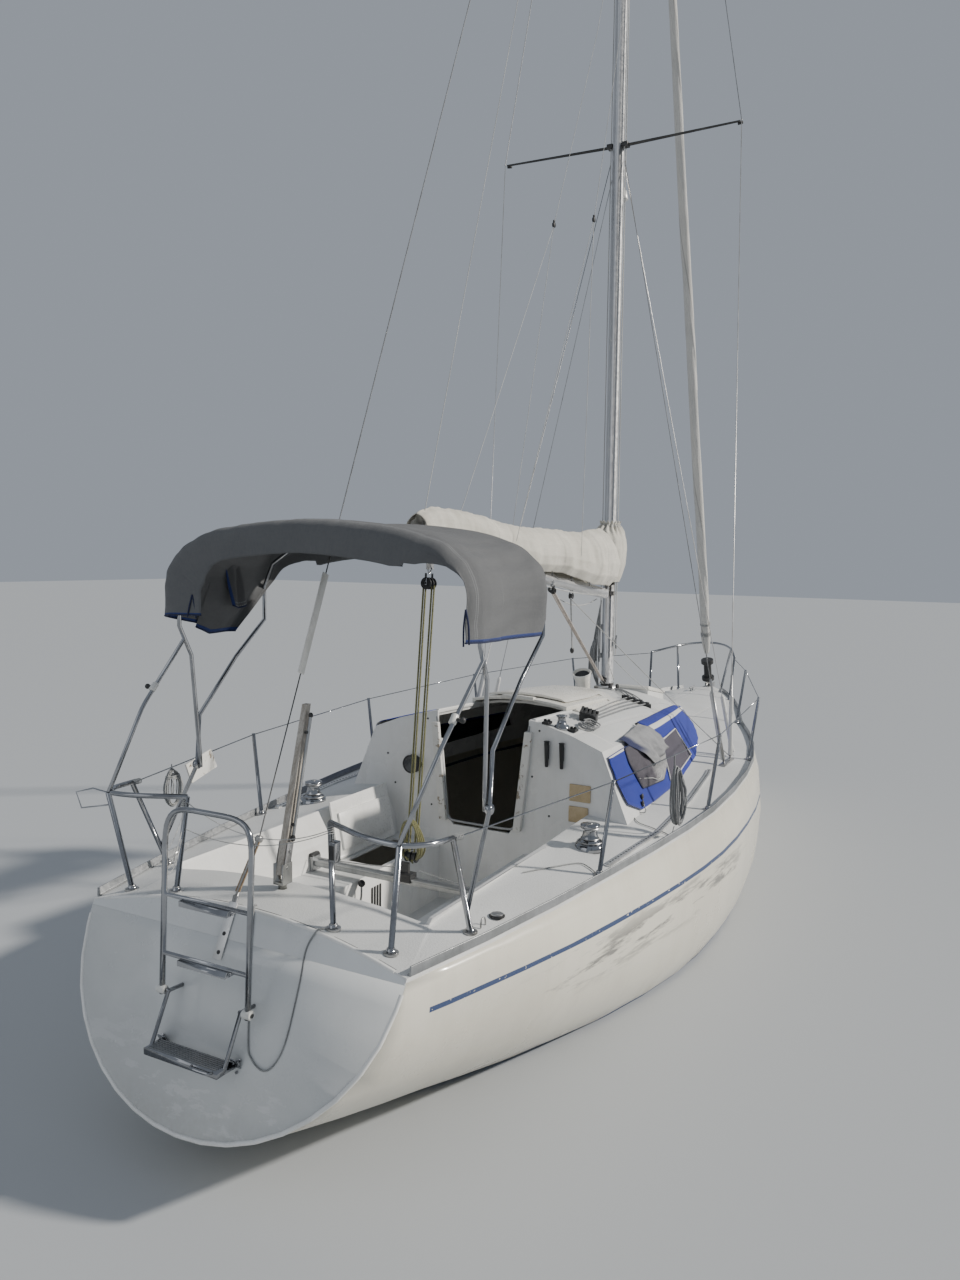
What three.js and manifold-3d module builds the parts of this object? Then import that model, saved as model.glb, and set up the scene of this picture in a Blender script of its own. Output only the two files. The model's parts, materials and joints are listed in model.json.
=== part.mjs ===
// Keeled sailing yacht, about 8.2 m long, afloat.
// Frame: +X to the bow, +Y to port, +Z up, millimetres.
// Origin: on the centreline at the waterline, under the middle of the overall length.
import * as THREE from 'three';
import { mergeVertices } from 'three/addons/utils/BufferGeometryUtils.js';
import Module from 'manifold-3d';

const wasm = await Module();
wasm.setup();

// Driving dimensions
const GAP = 0.35;              // between pieces that touch
const TRIM = 0.05;             // slivers under this size are merged away
const HULL_SKIN = 22;
const DECK_SKIN = 16;
const TRANSOM_TOP_X = -3780;   // deck corner of the transom
const TRANSOM_SLOPE = 0.5;     // metres aft for each metre down
const TRANSOM_Z = 910;
const BOW_X = 4120;
const DECK_CROWN = 105;
const TUBE = 12.5;             // radius of the rail tubes
const MAST_X = 700;
const MAST_FOOT_Z = 1478;
const MAST_RAKE = 0.0181;      // aft for each unit up
const MASTHEAD_Z = 11080;
const MAST_HALF = [64, 46];    // half length and half width of the mast section
const BULKHEAD_X = -1530;
const SEAT_Z = 715;
const WELL_Z = 330;
const WELL_HALF = 300;
const WELL_AFT_X = -3080;
const COCKPIT_AFT_X = -3370;
const SILL_Z = 830;
const STOCK_X = -3460;
const STOCK_R = 20;
const TILLER_Z = 1130;
const TRAVELLER = { x: -2415, z: 768, half: 632 };
const BOOM = { x: 575, z: 2262, rise: 0.116, r: 42, aft: -2300 };

// Hull stations: x, half breadth at deck, sheer height, bulge below the deck, keel line height
const STATION_COLUMNS = ['x', 'deck', 'sheer', 'bulge', 'keel'];
const STATIONS = [
  [-4400, 640, 900, 0, 300],
  [-3780, 862, 912, 4, 115],
  [-3050, 1022, 920, 25, -60],
  [-2324, 1143, 931, 48, -210],
  [-1550, 1250, 940, 68, -345],
  [-849, 1309, 951, 78, -425],
  [-100, 1300, 965, 80, -460],
  [679, 1228, 982, 66, -455],
  [1400, 1060, 1004, 36, -400],
  [2005, 842, 1028, 10, -310],
  [2650, 668, 1043, -14, -180],
  [3200, 488, 1056, -30, -30],
  [3650, 292, 1068, -24, 230],
  [3960, 126, 1076, -10, 640],
  [4120, 22, 1080, -2, 1000],
].map((row) => Object.fromEntries(STATION_COLUMNS.map((name, i) => [name, row[i]])));

// Cubic through the station table, so that hull, deck and rails share one line
function station(x) {
  const last = STATIONS.length - 1;
  let i = STATIONS.findIndex((s, k) => k < last && x <= STATIONS[k + 1].x);
  if (i < 0) i = last - 1;
  const at = (k) => STATIONS[Math.min(last, Math.max(0, k))];
  const [a, b, c, d] = [at(i - 1), at(i), at(i + 1), at(i + 2)];
  const u = (x - b.x) / (c.x - b.x);
  const out = { x };
  for (const name of STATION_COLUMNS.slice(1)) {
    const m0 = a === b ? c[name] - b[name] : ((c[name] - a[name]) / (c.x - a.x)) * (c.x - b.x);
    const m1 = d === c ? c[name] - b[name] : ((d[name] - b[name]) / (d.x - b.x)) * (c.x - b.x);
    out[name] = (2 * u ** 3 - 3 * u ** 2 + 1) * b[name] + (u ** 3 - 2 * u ** 2 + u) * m0
      + (-2 * u ** 3 + 3 * u ** 2) * c[name] + (u ** 3 - u ** 2) * m1;
  }
  return out;
}
const crown = (x) => DECK_CROWN * Math.min(1, Math.max(0, station(x).deck) / 750);
const deckZ = (x, y) => {
  const s = station(x);
  return s.sheer + DECK_SKIN + crown(x) * (1 - Math.min(1, (y / s.deck) ** 2));
};

// Solids and booleans
function solid(geometry) {
  const g = geometry.clone();
  g.deleteAttribute('normal');
  g.deleteAttribute('uv');
  const m = mergeVertices(g, 1e-3);
  return new wasm.Manifold(new wasm.Mesh({
    numProp: 3,
    vertProperties: new Float32Array(m.attributes.position.array),
    triVerts: new Uint32Array(m.index.array),
  }));
}
const join = (...parts) => parts.reduce((a, b) => a.add(b));
const cut = (body, ...tools) => tools.reduce((a, b) => a.subtract(b), body);
function toGeometry(m) {
  const mesh = m.getMesh();
  const g = new THREE.BufferGeometry();
  g.setAttribute('position', new THREE.Float32BufferAttribute(mesh.vertProperties, 3));
  g.setIndex(Array.from(mesh.triVerts));
  g.computeVertexNormals();
  return g;
}

// Triangles that close one ring in its own plane
function cap(ring) {
  const v = ring.map((p) => new THREE.Vector3(...p));
  const normal = new THREE.Vector3();
  v.forEach((p, i) => normal.add(p.clone().sub(v[0]).cross(v[(i + 1) % v.length].clone().sub(v[0]))));
  normal.normalize();
  const u = v[1].clone().sub(v[0]).projectOnPlane(normal).normalize();
  const w = normal.clone().cross(u);
  const flat = v.map((p) => new THREE.Vector2(p.dot(u), p.dot(w)));
  return THREE.ShapeUtils.triangulateShape(flat, []).map(([a, b, c]) => {
    const area = flat[b].clone().sub(flat[a]).cross(flat[c].clone().sub(flat[a]));
    return area > 0 ? [a, b, c] : [a, c, b];
  });
}
// Skin through rings of equal count, closed at both ends. An end with points in a row is closed from its middle.
function loft(rings) {
  const n = rings[0].length;
  const pos = rings.flat(2);
  const idx = [];
  for (let r = 0; r < rings.length - 1; r++) {
    for (let i = 0; i < n; i++) {
      const j = (i + 1) % n;
      const [a, b, c, d] = [r * n + i, r * n + j, (r + 1) * n + j, (r + 1) * n + i];
      idx.push(a, b, c, a, c, d);
    }
  }
  for (const [r, flip] of [[0, true], [rings.length - 1, false]]) {
    let faces = cap(rings[r]);
    if (faces.length !== n - 2) {
      pos.push(...[0, 1, 2].map((k) => rings[r].reduce((s, p) => s + p[k], 0) / n));
      faces = rings[r].map((_, i) => [pos.length / 3 - 1 - r * n, i, (i + 1) % n]);
    }
    for (const [a, b, c] of faces) idx.push(...(flip ? [a, c, b] : [a, b, c]).map((i) => r * n + i));
  }
  const g = new THREE.BufferGeometry();
  g.setAttribute('position', new THREE.Float32BufferAttribute(pos, 3));
  g.setIndex(idx);
  const m = solid(g);
  if (m.volume() > 0) return m;
  g.setIndex(idx.map((_, k) => idx[k - (k % 3) + (2 - (k % 3))]));
  return solid(g);
}
function box(x0, x1, y0, y1, z0, z1) {
  const g = new THREE.BoxGeometry(x1 - x0, y1 - y0, z1 - z0);
  g.translate((x0 + x1) / 2, (y0 + y1) / 2, (z0 + z1) / 2);
  return solid(g);
}
function rod(a, b, r0, r1 = r0, sides = 8) {
  const from = new THREE.Vector3(...a);
  const to = new THREE.Vector3(...b);
  const g = new THREE.CylinderGeometry(r1, r0, from.distanceTo(to), sides);
  g.translate(0, from.distanceTo(to) / 2, 0);
  const q = new THREE.Quaternion().setFromUnitVectors(
    new THREE.Vector3(0, 1, 0), to.clone().sub(from).normalize());
  g.applyQuaternion(q);
  g.translate(...a);
  return solid(g);
}
function ball(c, r, wide = 10, high = 6) {
  const g = new THREE.SphereGeometry(r, wide, high);
  g.translate(...c);
  return solid(g);
}
// Rounds the corners of a route with a few points on a curve
function bend(points, radius, steps = 3) {
  const v = points.map((p) => new THREE.Vector3(...p));
  const out = [v[0]];
  for (let i = 1; i < v.length - 1; i++) {
    const reach = (q) => Math.min(radius, q.distanceTo(v[i]) * 0.45);
    const from = v[i].clone().lerp(v[i - 1], reach(v[i - 1]) / v[i - 1].distanceTo(v[i]));
    const to = v[i].clone().lerp(v[i + 1], reach(v[i + 1]) / v[i + 1].distanceTo(v[i]));
    out.push(...new THREE.QuadraticBezierCurve3(from, v[i], to).getPoints(steps));
  }
  out.push(v[v.length - 1]);
  return out.map((p) => p.toArray());
}
// Round tube along a route, with one ring of vertices at each point of it
function tube(points, r, sides = 8) {
  const v = points.map((p) => new THREE.Vector3(...p));
  const dir = v.map((p, i) => {
    const a = i ? p.clone().sub(v[i - 1]).normalize() : new THREE.Vector3();
    const b = i < v.length - 1 ? v[i + 1].clone().sub(p).normalize() : new THREE.Vector3();
    return a.add(b).normalize();
  });
  const seed = Math.abs(dir[0].z) < 0.8 ? new THREE.Vector3(0, 0, 1) : new THREE.Vector3(1, 0, 0);
  let normal = seed.clone();
  return loft(v.map((p, i) => {
    normal = normal.clone().sub(dir[i].clone().multiplyScalar(normal.dot(dir[i]))).normalize();
    const side = dir[i].clone().cross(normal);
    return Array.from({ length: sides }, (_, k) => {
      const a = (k / sides) * 2 * Math.PI;
      return p.clone().addScaledVector(normal, r * Math.cos(a)).addScaledVector(side, r * Math.sin(a)).toArray();
    });
  }));
}
// Outline in the X-Z plane, pulled along Y
function slabXZ(outline, y0, y1) {
  return loft([outline.map(([x, z]) => [x, y0, z]), outline.map(([x, z]) => [x, y1, z])]);
}
// Outline in the Y-Z plane, pulled along X
function slabYZ(outline, x0, x1) {
  return loft([outline.map(([y, z]) => [x0, y, z]), outline.map(([y, z]) => [x1, y, z])]);
}
const mirrorY = (m) => m.mirror([0, 1, 0]);

// The group and its materials
const yacht = new THREE.Group();
const MATERIALS = {
  gelcoat: [0xe9e6dc, 0.35, 0], deck: [0xdfe2e3, 0.5, 0], alloy: [0xb9bcc0, 0.4, 0.9],
  steel: [0xc4c8cc, 0.18, 1], black: [0x15161a, 0.5, 0.1], antifoul: [0x1d2a4a, 0.8, 0],
  bronze: [0xa8843c, 0.35, 1], acrylic: [0x2b2f33, 0.1, 0], blue: [0x1f2f9a, 0.9, 0],
  canvas: [0xd9d3c3, 0.95, 0], grey: [0x9a9a97, 0.95, 0], wood: [0x8a8176, 0.8, 0],
  sail: [0xd7d4cc, 0.9, 0], rope: [0x8f8a4c, 0.95, 0], greyRope: [0x6f7272, 0.95, 0],
  mesh: [0x6d6b70, 0.95, 0], engine: [0x8c1f1c, 0.5, 0.3], paintedWood: [0xe3dfd4, 0.7, 0],
};
function node(name, body, material) {
  const [color, roughness, metalness] = MATERIALS[material];
  const mesh = new THREE.Mesh(toGeometry(body.simplify(TRIM)),
    new THREE.MeshStandardMaterial({ color, roughness, metalness }));
  mesh.name = name;
  yacht.add(mesh);
}

// Hull sections: an oval below the widest point, a slight tuck-in above it
const RING = 9;
function hullSection(x, inset) {
  const s = station(x);
  const tuck = Math.max(0, s.bulge);
  const fullness = s.bulge > 0 ? 1 : 0.985;
  const wide = Math.max(7, (s.deck + tuck) * fullness - inset);
  const midZ = s.sheer - Math.max(90, 5.2 * tuck);
  const keelZ = s.keel + inset * (x > 3000 ? 2.2 : 1);
  const power = 2 + 0.35 * Math.min(1, tuck / 70);
  const flare = Math.max(0, -s.bulge) / 60;
  const side = [];
  for (let i = 0; i <= RING; i++) {
    const a = (i / RING) * Math.PI / 2;
    const y = wide * Math.sin(a) ** (2 / power + flare);
    side.push([y, midZ - (midZ - Math.min(keelZ, midZ - 20)) * Math.cos(a) ** (2 / power)]);
  }
  side.push([Math.max(6, s.deck + tuck * 0.72 - inset), midZ + (s.sheer - midZ) * 0.55]);
  side.push([Math.max(5, s.deck - inset), s.sheer]);
  return side;
}
function hullBody(inset, top) {
  const xs = [-4400, -4150, -3950, -3780, -3550, -3300, -3050, -2700, -2324, -1950, -1550, -1200, -849,
    -480, -100, 300, 679, 1050, 1400, 1700, 2005, 2330, 2650, 2930, 3200, 3430, 3650, 3820, 3960, 4050, 4120];
  const rings = xs.filter((x) => x <= BOW_X - inset * 2.5).map((x) => {
    const side = hullSection(x, inset);
    if (top) side.push([side[side.length - 1][0], side[side.length - 1][1] + top]);
    const port = side.slice(1).map(([y, z]) => [x, y, z]);
    const starboard = side.slice(1).reverse().map(([y, z]) => [x, -y, z]);
    return [[x, 0, side[0][1]], ...port, ...starboard];
  });
  return loft(rings);
}
// Wedge that cuts everything aft of the transom's slope, moved forward by an inset
function transomCut(inset) {
  const shift = inset * Math.hypot(1, TRANSOM_SLOPE);
  const at = (z) => TRANSOM_TOP_X - TRANSOM_SLOPE * (TRANSOM_Z - z) + shift;
  return slabXZ([[at(-900), -900], [at(1500), 1500], [-6000, 1500], [-6000, -900]], -2000, 2000);
}
const hullOuter = cut(hullBody(0, 0), transomCut(0));
const hullInner = cut(hullBody(HULL_SKIN, 60), transomCut(HULL_SKIN));

// Keel: a swept fin with a foil section
function foil(x0, chord, half, z, count = 7) {
  const half1 = [];
  for (let i = 0; i <= count; i++) {
    const t = (1 - Math.cos((i / count) * Math.PI)) / 2;
    half1.push([t, 2.6 * half * (0.2969 * Math.sqrt(t) - 0.126 * t - 0.3516 * t * t
      + 0.2843 * t ** 3 - 0.1015 * t ** 4) * 2 + (i === 0 || i === count ? 1.5 : 0)]);
  }
  const upper = half1.map(([t, y]) => [x0 - t * chord, y, z]);
  const lower = half1.slice().reverse().map(([t, y]) => [x0 - t * chord, -y, z]);
  return [...upper, ...lower];
}
const keelRaw = loft([foil(900, 1500, 75, -300), foil(560, 1050, 78, -1380), foil(500, 940, 60, -1450)]);
const keel = cut(keelRaw, hullBody(-GAP, 1));

// Rudder: a spade blade hung on a round stock that comes out through the aft deck
const stockTop = TILLER_Z - 34;
const TILLER_PIN = 6;
const blade = loft([foil(STOCK_X + 150, 470, 30, -60), foil(STOCK_X + 110, 400, 26, -900),
  foil(STOCK_X + 70, 330, 18, -1180)]);
const cheeks = join(
  box(STOCK_X - 32, STOCK_X + 34, 20, 28, stockTop - 34, TILLER_Z + 26),
  box(STOCK_X - 32, STOCK_X + 34, -28, -20, stockTop - 34, TILLER_Z + 26),
  box(STOCK_X - 32, STOCK_X + 34, -28, 28, stockTop - 36, stockTop - 24),
  rod([STOCK_X, -27, TILLER_Z], [STOCK_X, 27, TILLER_Z], TILLER_PIN, TILLER_PIN, 12),
);
const rudder = join(cut(blade, hullBody(-10, 1)), rod([STOCK_X, 0, -80], [STOCK_X, 0, stockTop - 26], STOCK_R, STOCK_R, 14),
  cheeks);
const stockHole = rod([STOCK_X, 0, -400], [STOCK_X, 0, 1200], STOCK_R + 1, STOCK_R + 1, 14);

// Propeller shaft, its strut, propeller and engine
const SHAFT_A = [-1900, 0, -60];
const SHAFT_B = [-2840, 0, -330];
const shaftHole = rod(SHAFT_A, SHAFT_B, 16, 16, 12);
const hullShell = cut(hullOuter, hullInner, stockHole, shaftHole);
node('hull_shell', hullShell, 'gelcoat');
node('keel', keel, 'antifoul');
node('rudder', rudder, 'antifoul');

// Cabin trunk: half width at its foot, half width at the roof edge, roof edge height, roof middle height
const CABIN_COLUMNS = ['x', 'foot', 'edge', 'edgeZ', 'midZ'];
const CABIN = [
  [BULKHEAD_X, 975, 800, 1412, 1590], [-1000, 968, 792, 1400, 1572], [-300, 938, 745, 1378, 1545],
  [400, 862, 655, 1345, 1500], [1000, 742, 530, 1290, 1432], [1500, 600, 400, 1222, 1345],
  [1900, 450, 270, 1158, 1245], [2180, 300, 170, 1128, 1168],
].map((row) => Object.fromEntries(CABIN_COLUMNS.map((name, i) => [name, row[i]])));
function cabinRing(c, inset, floor) {
  const roof = [];
  for (let i = 0; i <= 8; i++) {
    const t = 1 - i / 4;
    const y = (c.edge - inset) * t;
    roof.push([c.x, y, c.edgeZ - inset + (c.midZ - c.edgeZ) * (1 - t * t)]);
  }
  return [[c.x, -(c.foot - inset), floor], [c.x, c.foot - inset, floor], ...roof];
}
function cabinBody(inset, floor) {
  const rows = CABIN.map((c) => ({ ...c }));
  rows[rows.length - 1].x -= inset * 4;
  return loft(rows.map((c) => cabinRing(c, inset, floor)));
}
// Roof height of the cabin at a point
function roofZ(x, y) {
  let i = CABIN.findIndex((c, k) => k < CABIN.length - 1 && x <= CABIN[k + 1].x);
  if (i < 0) i = CABIN.length - 2;
  const [a, b] = [CABIN[i], CABIN[i + 1]];
  const u = (x - a.x) / (b.x - a.x);
  const at = (c) => c.edgeZ + (c.midZ - c.edgeZ) * (1 - (y / c.edge) ** 2);
  return at(a) * (1 - u) + at(b) * u;
}

// Deck plate
function deckPlate() {
  const xs = [-4000, -3780, -3300, -2800, -2324, -1800, -1300, -849, -300, 200, 679, 1150, 1600, 2005, 2400,
    2800, 3200, 3500, 3800, 4000, 4112];
  const rings = xs.map((x) => {
    const s = station(x);
    const top = [];
    const bottom = [];
    for (let i = -4; i <= 4; i++) {
      const y = (i / 4) * (s.deck - 1);
      top.push([x, y, deckZ(x, y)]);
      bottom.unshift([x, y, deckZ(x, y) - DECK_SKIN + GAP]);
    }
    return [...top, ...bottom];
  });
  return cut(loft(rings), transomCut(0));
}
// Everything below the deck and cabin faces, the same on both sides, to seat fittings on
function belowDeck() {
  const xs = [-4000, -3780, -3300, -2800, -2324, -1800, -1300, -849, -300, 200, 679, 1150, 1600, 2005, 2400,
    2800, 3200, 3500, 3800, 4000, 4112];
  return cut(loft(xs.map((x) => {
    const s = station(x);
    const top = [];
    for (let i = -4; i <= 4; i++) {
      const y = (i / 4) * (s.deck - 1);
      top.push([x, y, deckZ(x, y)]);
    }
    return [...top, [x, s.deck - 1, 400], [x, 1 - s.deck, 400]];
  })), transomCut(0));
}
// Cockpit: section of the space above the seats, and the well between them
const coaming = [[628, SEAT_Z], [640, 845], [722, 1012], [735, 1400]];
const spaceRing = (g, drop) => {
  const port = coaming.map(([y, z], i) => [y + g, i ? z : z - drop]);
  return [...port, ...port.map(([y, z]) => [-y, z]).reverse()];
};
const T = DECK_SKIN;
const seatSpace = slabYZ(spaceRing(0, 0), COCKPIT_AFT_X, BULKHEAD_X);
const seatSides = slabYZ(spaceRing(T, T).map(([y, z]) => [y, Math.min(z, 1010)]), COCKPIT_AFT_X, BULKHEAD_X + T);
// The aft wall reaches into the thickness of the deck above it
const aftWall = () => {
  const top = [];
  for (let i = 0; i <= 8; i++) {
    const y = 700 * (1 - i / 4);
    top.push([y, deckZ(COCKPIT_AFT_X, y) - T / 2]);
  }
  return slabYZ([[-656, 845], [-644, SEAT_Z - T], [644, SEAT_Z - T], [656, 845], ...top],
    COCKPIT_AFT_X - T, COCKPIT_AFT_X + 1);
};
const seatOuter = join(seatSides, aftWall());
const wellSpace = box(WELL_AFT_X, BULKHEAD_X, -WELL_HALF, WELL_HALF, WELL_Z, SEAT_Z + 10);
const wellOuter = box(WELL_AFT_X - T, BULKHEAD_X + T, -WELL_HALF - T, WELL_HALF + T, WELL_Z - T, SEAT_Z);
const LID = { x0: -2220, x1: -1610, y: 602, width: 340, plate: 12, thick: 26, knuckle: 13.6, lean: 12 };
const lockerHole = box(LID.x0 + 40, LID.x1 - 40, WELL_HALF + 30, LID.y - 30, SEAT_Z - 60, SEAT_Z + 20);
const companionway = slabYZ([[-240, SILL_Z + 60], [-200, SILL_Z], [200, SILL_Z], [240, SILL_Z + 60], [327, 1700],
  [-327, 1700]], BULKHEAD_X - 30, BULKHEAD_X + 60);
const HATCH = { aft: -905, half: 322, slide: [-1500, -240], slideY: [332, 354], rise: 0.0372, slideZ: 1515 };
const hatchway = box(BULKHEAD_X - 30, HATCH.aft, -HATCH.half, HATCH.half, 1380, 1800);
const FORE_HATCH = { x0: 1120, x1: 1540, half: 205 };
const slideZ = (x) => HATCH.slideZ + HATCH.rise * (HATCH.slide[1] - x);
const hatchSlides = [1, -1].map((s) => loft(HATCH.slide.map((x) => {
  const [a, b] = HATCH.slideY.map((y) => s * y);
  return [[x, a, slideZ(x) - 40], [x, b, slideZ(x) - 40], [x, b, slideZ(x)], [x, a, slideZ(x)]];
})));
const foreHatchHole = box(FORE_HATCH.x0, FORE_HATCH.x1, -FORE_HATCH.half, FORE_HATCH.half, 1200, 1600);
const rimZ = (x) => roofZ(FORE_HATCH.x0, 0) + 10
  + (roofZ(FORE_HATCH.x1, 0) - roofZ(FORE_HATCH.x0, 0)) * ((x - FORE_HATCH.x0) / (FORE_HATCH.x1 - FORE_HATCH.x0));
const foreRim = slabXZ([[FORE_HATCH.x0 - 18, 1260], [FORE_HATCH.x0 - 18, rimZ(FORE_HATCH.x0 - 18)],
  [FORE_HATCH.x1 + 18, rimZ(FORE_HATCH.x1 + 18)], [FORE_HATCH.x1 + 18, 1260]], -FORE_HATCH.half - 18, FORE_HATCH.half + 18);
const WINDOW = { x0: -1150, x1: 450 };
const windowSlab = (g) => slabXZ([[WINDOW.x0 + g, 1110 + g], [WINDOW.x0 + 30 + g, 1310 - g],
  [WINDOW.x1 - 160 - g, 1275 - g], [WINDOW.x1 - 2 * g, 1130 + g]], 300, 1200);
const windowHole = windowSlab(0);
const cabinOuter = cut(cabinBody(0, 985), box(-2000, BULKHEAD_X, -1200, 1200, 0, 2000));
const underFaces = join(belowDeck(), cabinOuter);
const deckCover = join(underFaces, mirrorY(underFaces)).translate([0, 0, GAP]);
const cabinInner = cut(cabinBody(T, 900), box(-2000, BULKHEAD_X + T, -1200, 1200, 0, 2000));
// Upper part of the transom, from the hull's top edge to the crown of the deck
const transomHead = belowDeck().intersect(transomCut(HULL_SKIN)).intersect(box(-4200, -3600, -900, 900, 912.8, 1200));
const deckMoulding = cut(
  join(cut(join(deckPlate(), cabinOuter), cabinInner), transomHead, foreRim, ...hatchSlides,
    seatOuter, wellOuter,
    box(BULKHEAD_X, BULKHEAD_X + T, -520, 520, WELL_Z - T, 1200)),
  seatSpace, wellSpace, companionway, hatchway, foreHatchHole, stockHole, lockerHole,
  windowHole, mirrorY(windowHole),
);
node('deck_moulding', deckMoulding, 'deck');

// Engine block on the inside of the hull, with its shaft and strut
const engineRaw = box(-2120, -1640, -210, 210, -420, 250);
const engine = cut(engineRaw.intersect(cut(hullBody(HULL_SKIN + GAP, 60), transomCut(30))), shaftHole);
node('engine_block', engine, 'engine');
const along = (t) => SHAFT_A.map((a, i) => a + (SHAFT_B[i] - a) * t);
const shaftBody = join(rod(along(0), along(0.985), 12.5, 12.5, 12),
  cut(join(rod(along(0.86), along(0.94), 26, 26, 12),
    slabXZ([[along(0.86)[0], along(0.9)[2] + 10], [along(0.94)[0], along(0.9)[2] - 4], [along(0.94)[0] + 20, 60],
      [along(0.86)[0] + 20, 60]], -8, 8)), hullBody(-GAP, 1)));
node('propeller_shaft', shaftBody, 'bronze');
const PROP_AXIS = new THREE.Vector3(...SHAFT_B).sub(new THREE.Vector3(...SHAFT_A)).normalize();
function propeller() {
  const hub = rod(along(0.9855), along(1.075), 27, 16, 12);
  const bladeOf = (side) => {
    const g = new THREE.CylinderGeometry(62, 62, 9, 14);
    g.scale(1, 1, 1.45);
    g.rotateZ(Math.PI / 2 + 0.55 * side);
    g.translate(0, 0, side * 100);
    const q = new THREE.Quaternion().setFromUnitVectors(new THREE.Vector3(-1, 0, 0), PROP_AXIS);
    g.applyQuaternion(q);
    g.translate(...along(1.03));
    return solid(g);
  };
  return join(hub, bladeOf(1), bladeOf(-1));
}
node('propeller', propeller(), 'bronze');

// Toe rails: an upstand along each deck edge
function toeRail() {
  const xs = [-3750, -3300, -2800, -2324, -1800, -1300, -849, -300, 200, 679, 1150, 1600, 2005, 2400, 2800, 3200,
    3500, 3780];
  return loft(xs.map((x) => {
    const s = station(x);
    const z = s.sheer + DECK_SKIN + GAP + 2;
    const y = s.deck - 2;
    return [[x, y, z - 0.5], [x, y, z + 40], [x, y - 7, z + 40], [x, y - 9, z + 5], [x, y - 19, z + 7],
      [x, y - 19, z + 3.4]];
  }));
}
const toe = cut(toeRail(), deckCover);
node('toe_rail_port', toe, 'alloy');
node('toe_rail_starboard', mirrorY(toe), 'alloy');

// Hatch garage, sliding hatch, washboard rails and fore hatch
function garage() {
  const rings = [HATCH.aft, -500, -90].map((x, i) => {
    const lift = [59, 57, 48][i];
    const outer = [];
    for (let k = 0; k <= 6; k++) {
      const t = 1 - k / 3;
      const y = 400 * t;
      outer.push([x, y, roofZ(x, y) + 8 + (lift - 8) * (1 - t ** 6)]);
    }
    return [[x, -400, roofZ(x, 400) - 40], [x, 400, roofZ(x, 400) - 40], ...outer];
  });
  const room = [HATCH.aft - 10, -225].map((x) => {
    const outer = [];
    for (let k = 0; k <= 6; k++) {
      const t = 1 - k / 3;
      outer.push([x, 368 * t, roofZ(x, 368 * t) + 42]);
    }
    return [[x, -368, roofZ(x, 368) - 60], [x, 368, roofZ(x, 368) - 60], ...outer];
  });
  const slides = hatchSlides.map((m, i) => m.translate([0, i ? -GAP : GAP, GAP]));
  return cut(loft(rings), loft(room), cabinOuter.translate([0, 0, GAP]), ...slides);
}
node('hatch_garage', garage(), 'gelcoat');
function slidingHatch() {
  // Arched plate with a runner under each edge
  const skin = (x) => {
    const up = [];
    const down = [];
    for (let k = 0; k <= 6; k++) {
      const y = 352 * (1 - k / 3);
      up.push([x, y, roofZ(x, y) + 34]);
    }
    for (const y of [320, 230, 115, 0, -115, -230, -320]) down.unshift([x, y, roofZ(x, y) + 16]);
    const runner = (s) => [[x, s * 350, slideZ(x) + GAP], [x, s * 336, slideZ(x) + GAP]];
    return [...up, ...runner(-1), ...down, ...runner(1).reverse()];
  };
  const handle = [-1026, -988].map((x) => {
    const across = [352 / 3, 0, -352 / 3];
    return [...across.map((y) => [x, y, roofZ(x, y) + 48]), ...across.reverse().map((y) => [x, y, roofZ(x, y) + 26])];
  });
  return join(loft([-1010, -1000, -300, -240].map(skin)), loft(handle));
}
node('companion_hatch', slidingHatch(), 'gelcoat');
function washboardRail() {
  const x0 = BULKHEAD_X - 30;
  return loft([[[238, SILL_Z + 30], [288, SILL_Z + 30]], [[305, 1486], [355, 1486]]].map(([a, b]) => [
    [x0, a[0], a[1]], [BULKHEAD_X - GAP, a[0], a[1]], [BULKHEAD_X - GAP, b[0], b[1]], [x0, b[0], b[1]]]));
}
node('washboard_rail_port', washboardRail(), 'paintedWood');
node('washboard_rail_starboard', mirrorY(washboardRail()), 'paintedWood');
function foreHatch() {
  const [a, b] = [FORE_HATCH.x0 - 28, FORE_HATCH.x1 + 28];
  return slabXZ([[a, rimZ(a) + 1], [a, rimZ(a) + 20], [a + 20, rimZ(a) + 30], [b - 20, rimZ(b) + 30],
    [b, rimZ(b) + 20], [b, rimZ(b) + 1]], -FORE_HATCH.half - 28, FORE_HATCH.half + 28);
}
node('fore_hatch', foreHatch(), 'gelcoat');

// Cabin windows, and the cloth covers hung over them
function cabinSide([x, t]) {
  let i = CABIN.findIndex((c, k) => k < CABIN.length - 1 && x <= CABIN[k + 1].x);
  if (i < 0) i = CABIN.length - 2;
  const [a, b] = [CABIN[i], CABIN[i + 1]];
  const u = Math.max(0, (x - a.x) / (b.x - a.x));
  const mix = (name) => a[name] * (1 - u) + b[name] * u;
  const y = mix('foot') * (1 - t) + mix('edge') * t;
  return [x, y, 985 + (mix('edgeZ') - 985) * t];
}
function sidePanel(outline, lift, thick) {
  const inner = outline.map(cabinSide).map(([x, y, z]) => [x, y + lift, z + lift * 0.4]);
  const outer = inner.map(([x, y, z]) => [x, y + thick, z + thick * 0.4]);
  return loft([inner, outer]);
}
const windowPane = cut(sidePanel([[WINDOW.x0 + 1, 0.32], [WINDOW.x0 + 20, 0.74], [-500, 0.73], [WINDOW.x1 - 165, 0.74],
  [WINDOW.x1 - 10, 0.4], [-300, 0.34]], -16, 6), cut(box(-3000, 3000, 0, 2000, 0, 2000), windowSlab(2 * GAP)));
node('window_port', windowPane, 'acrylic');
node('window_starboard', mirrorY(windowPane), 'acrylic');
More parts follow.
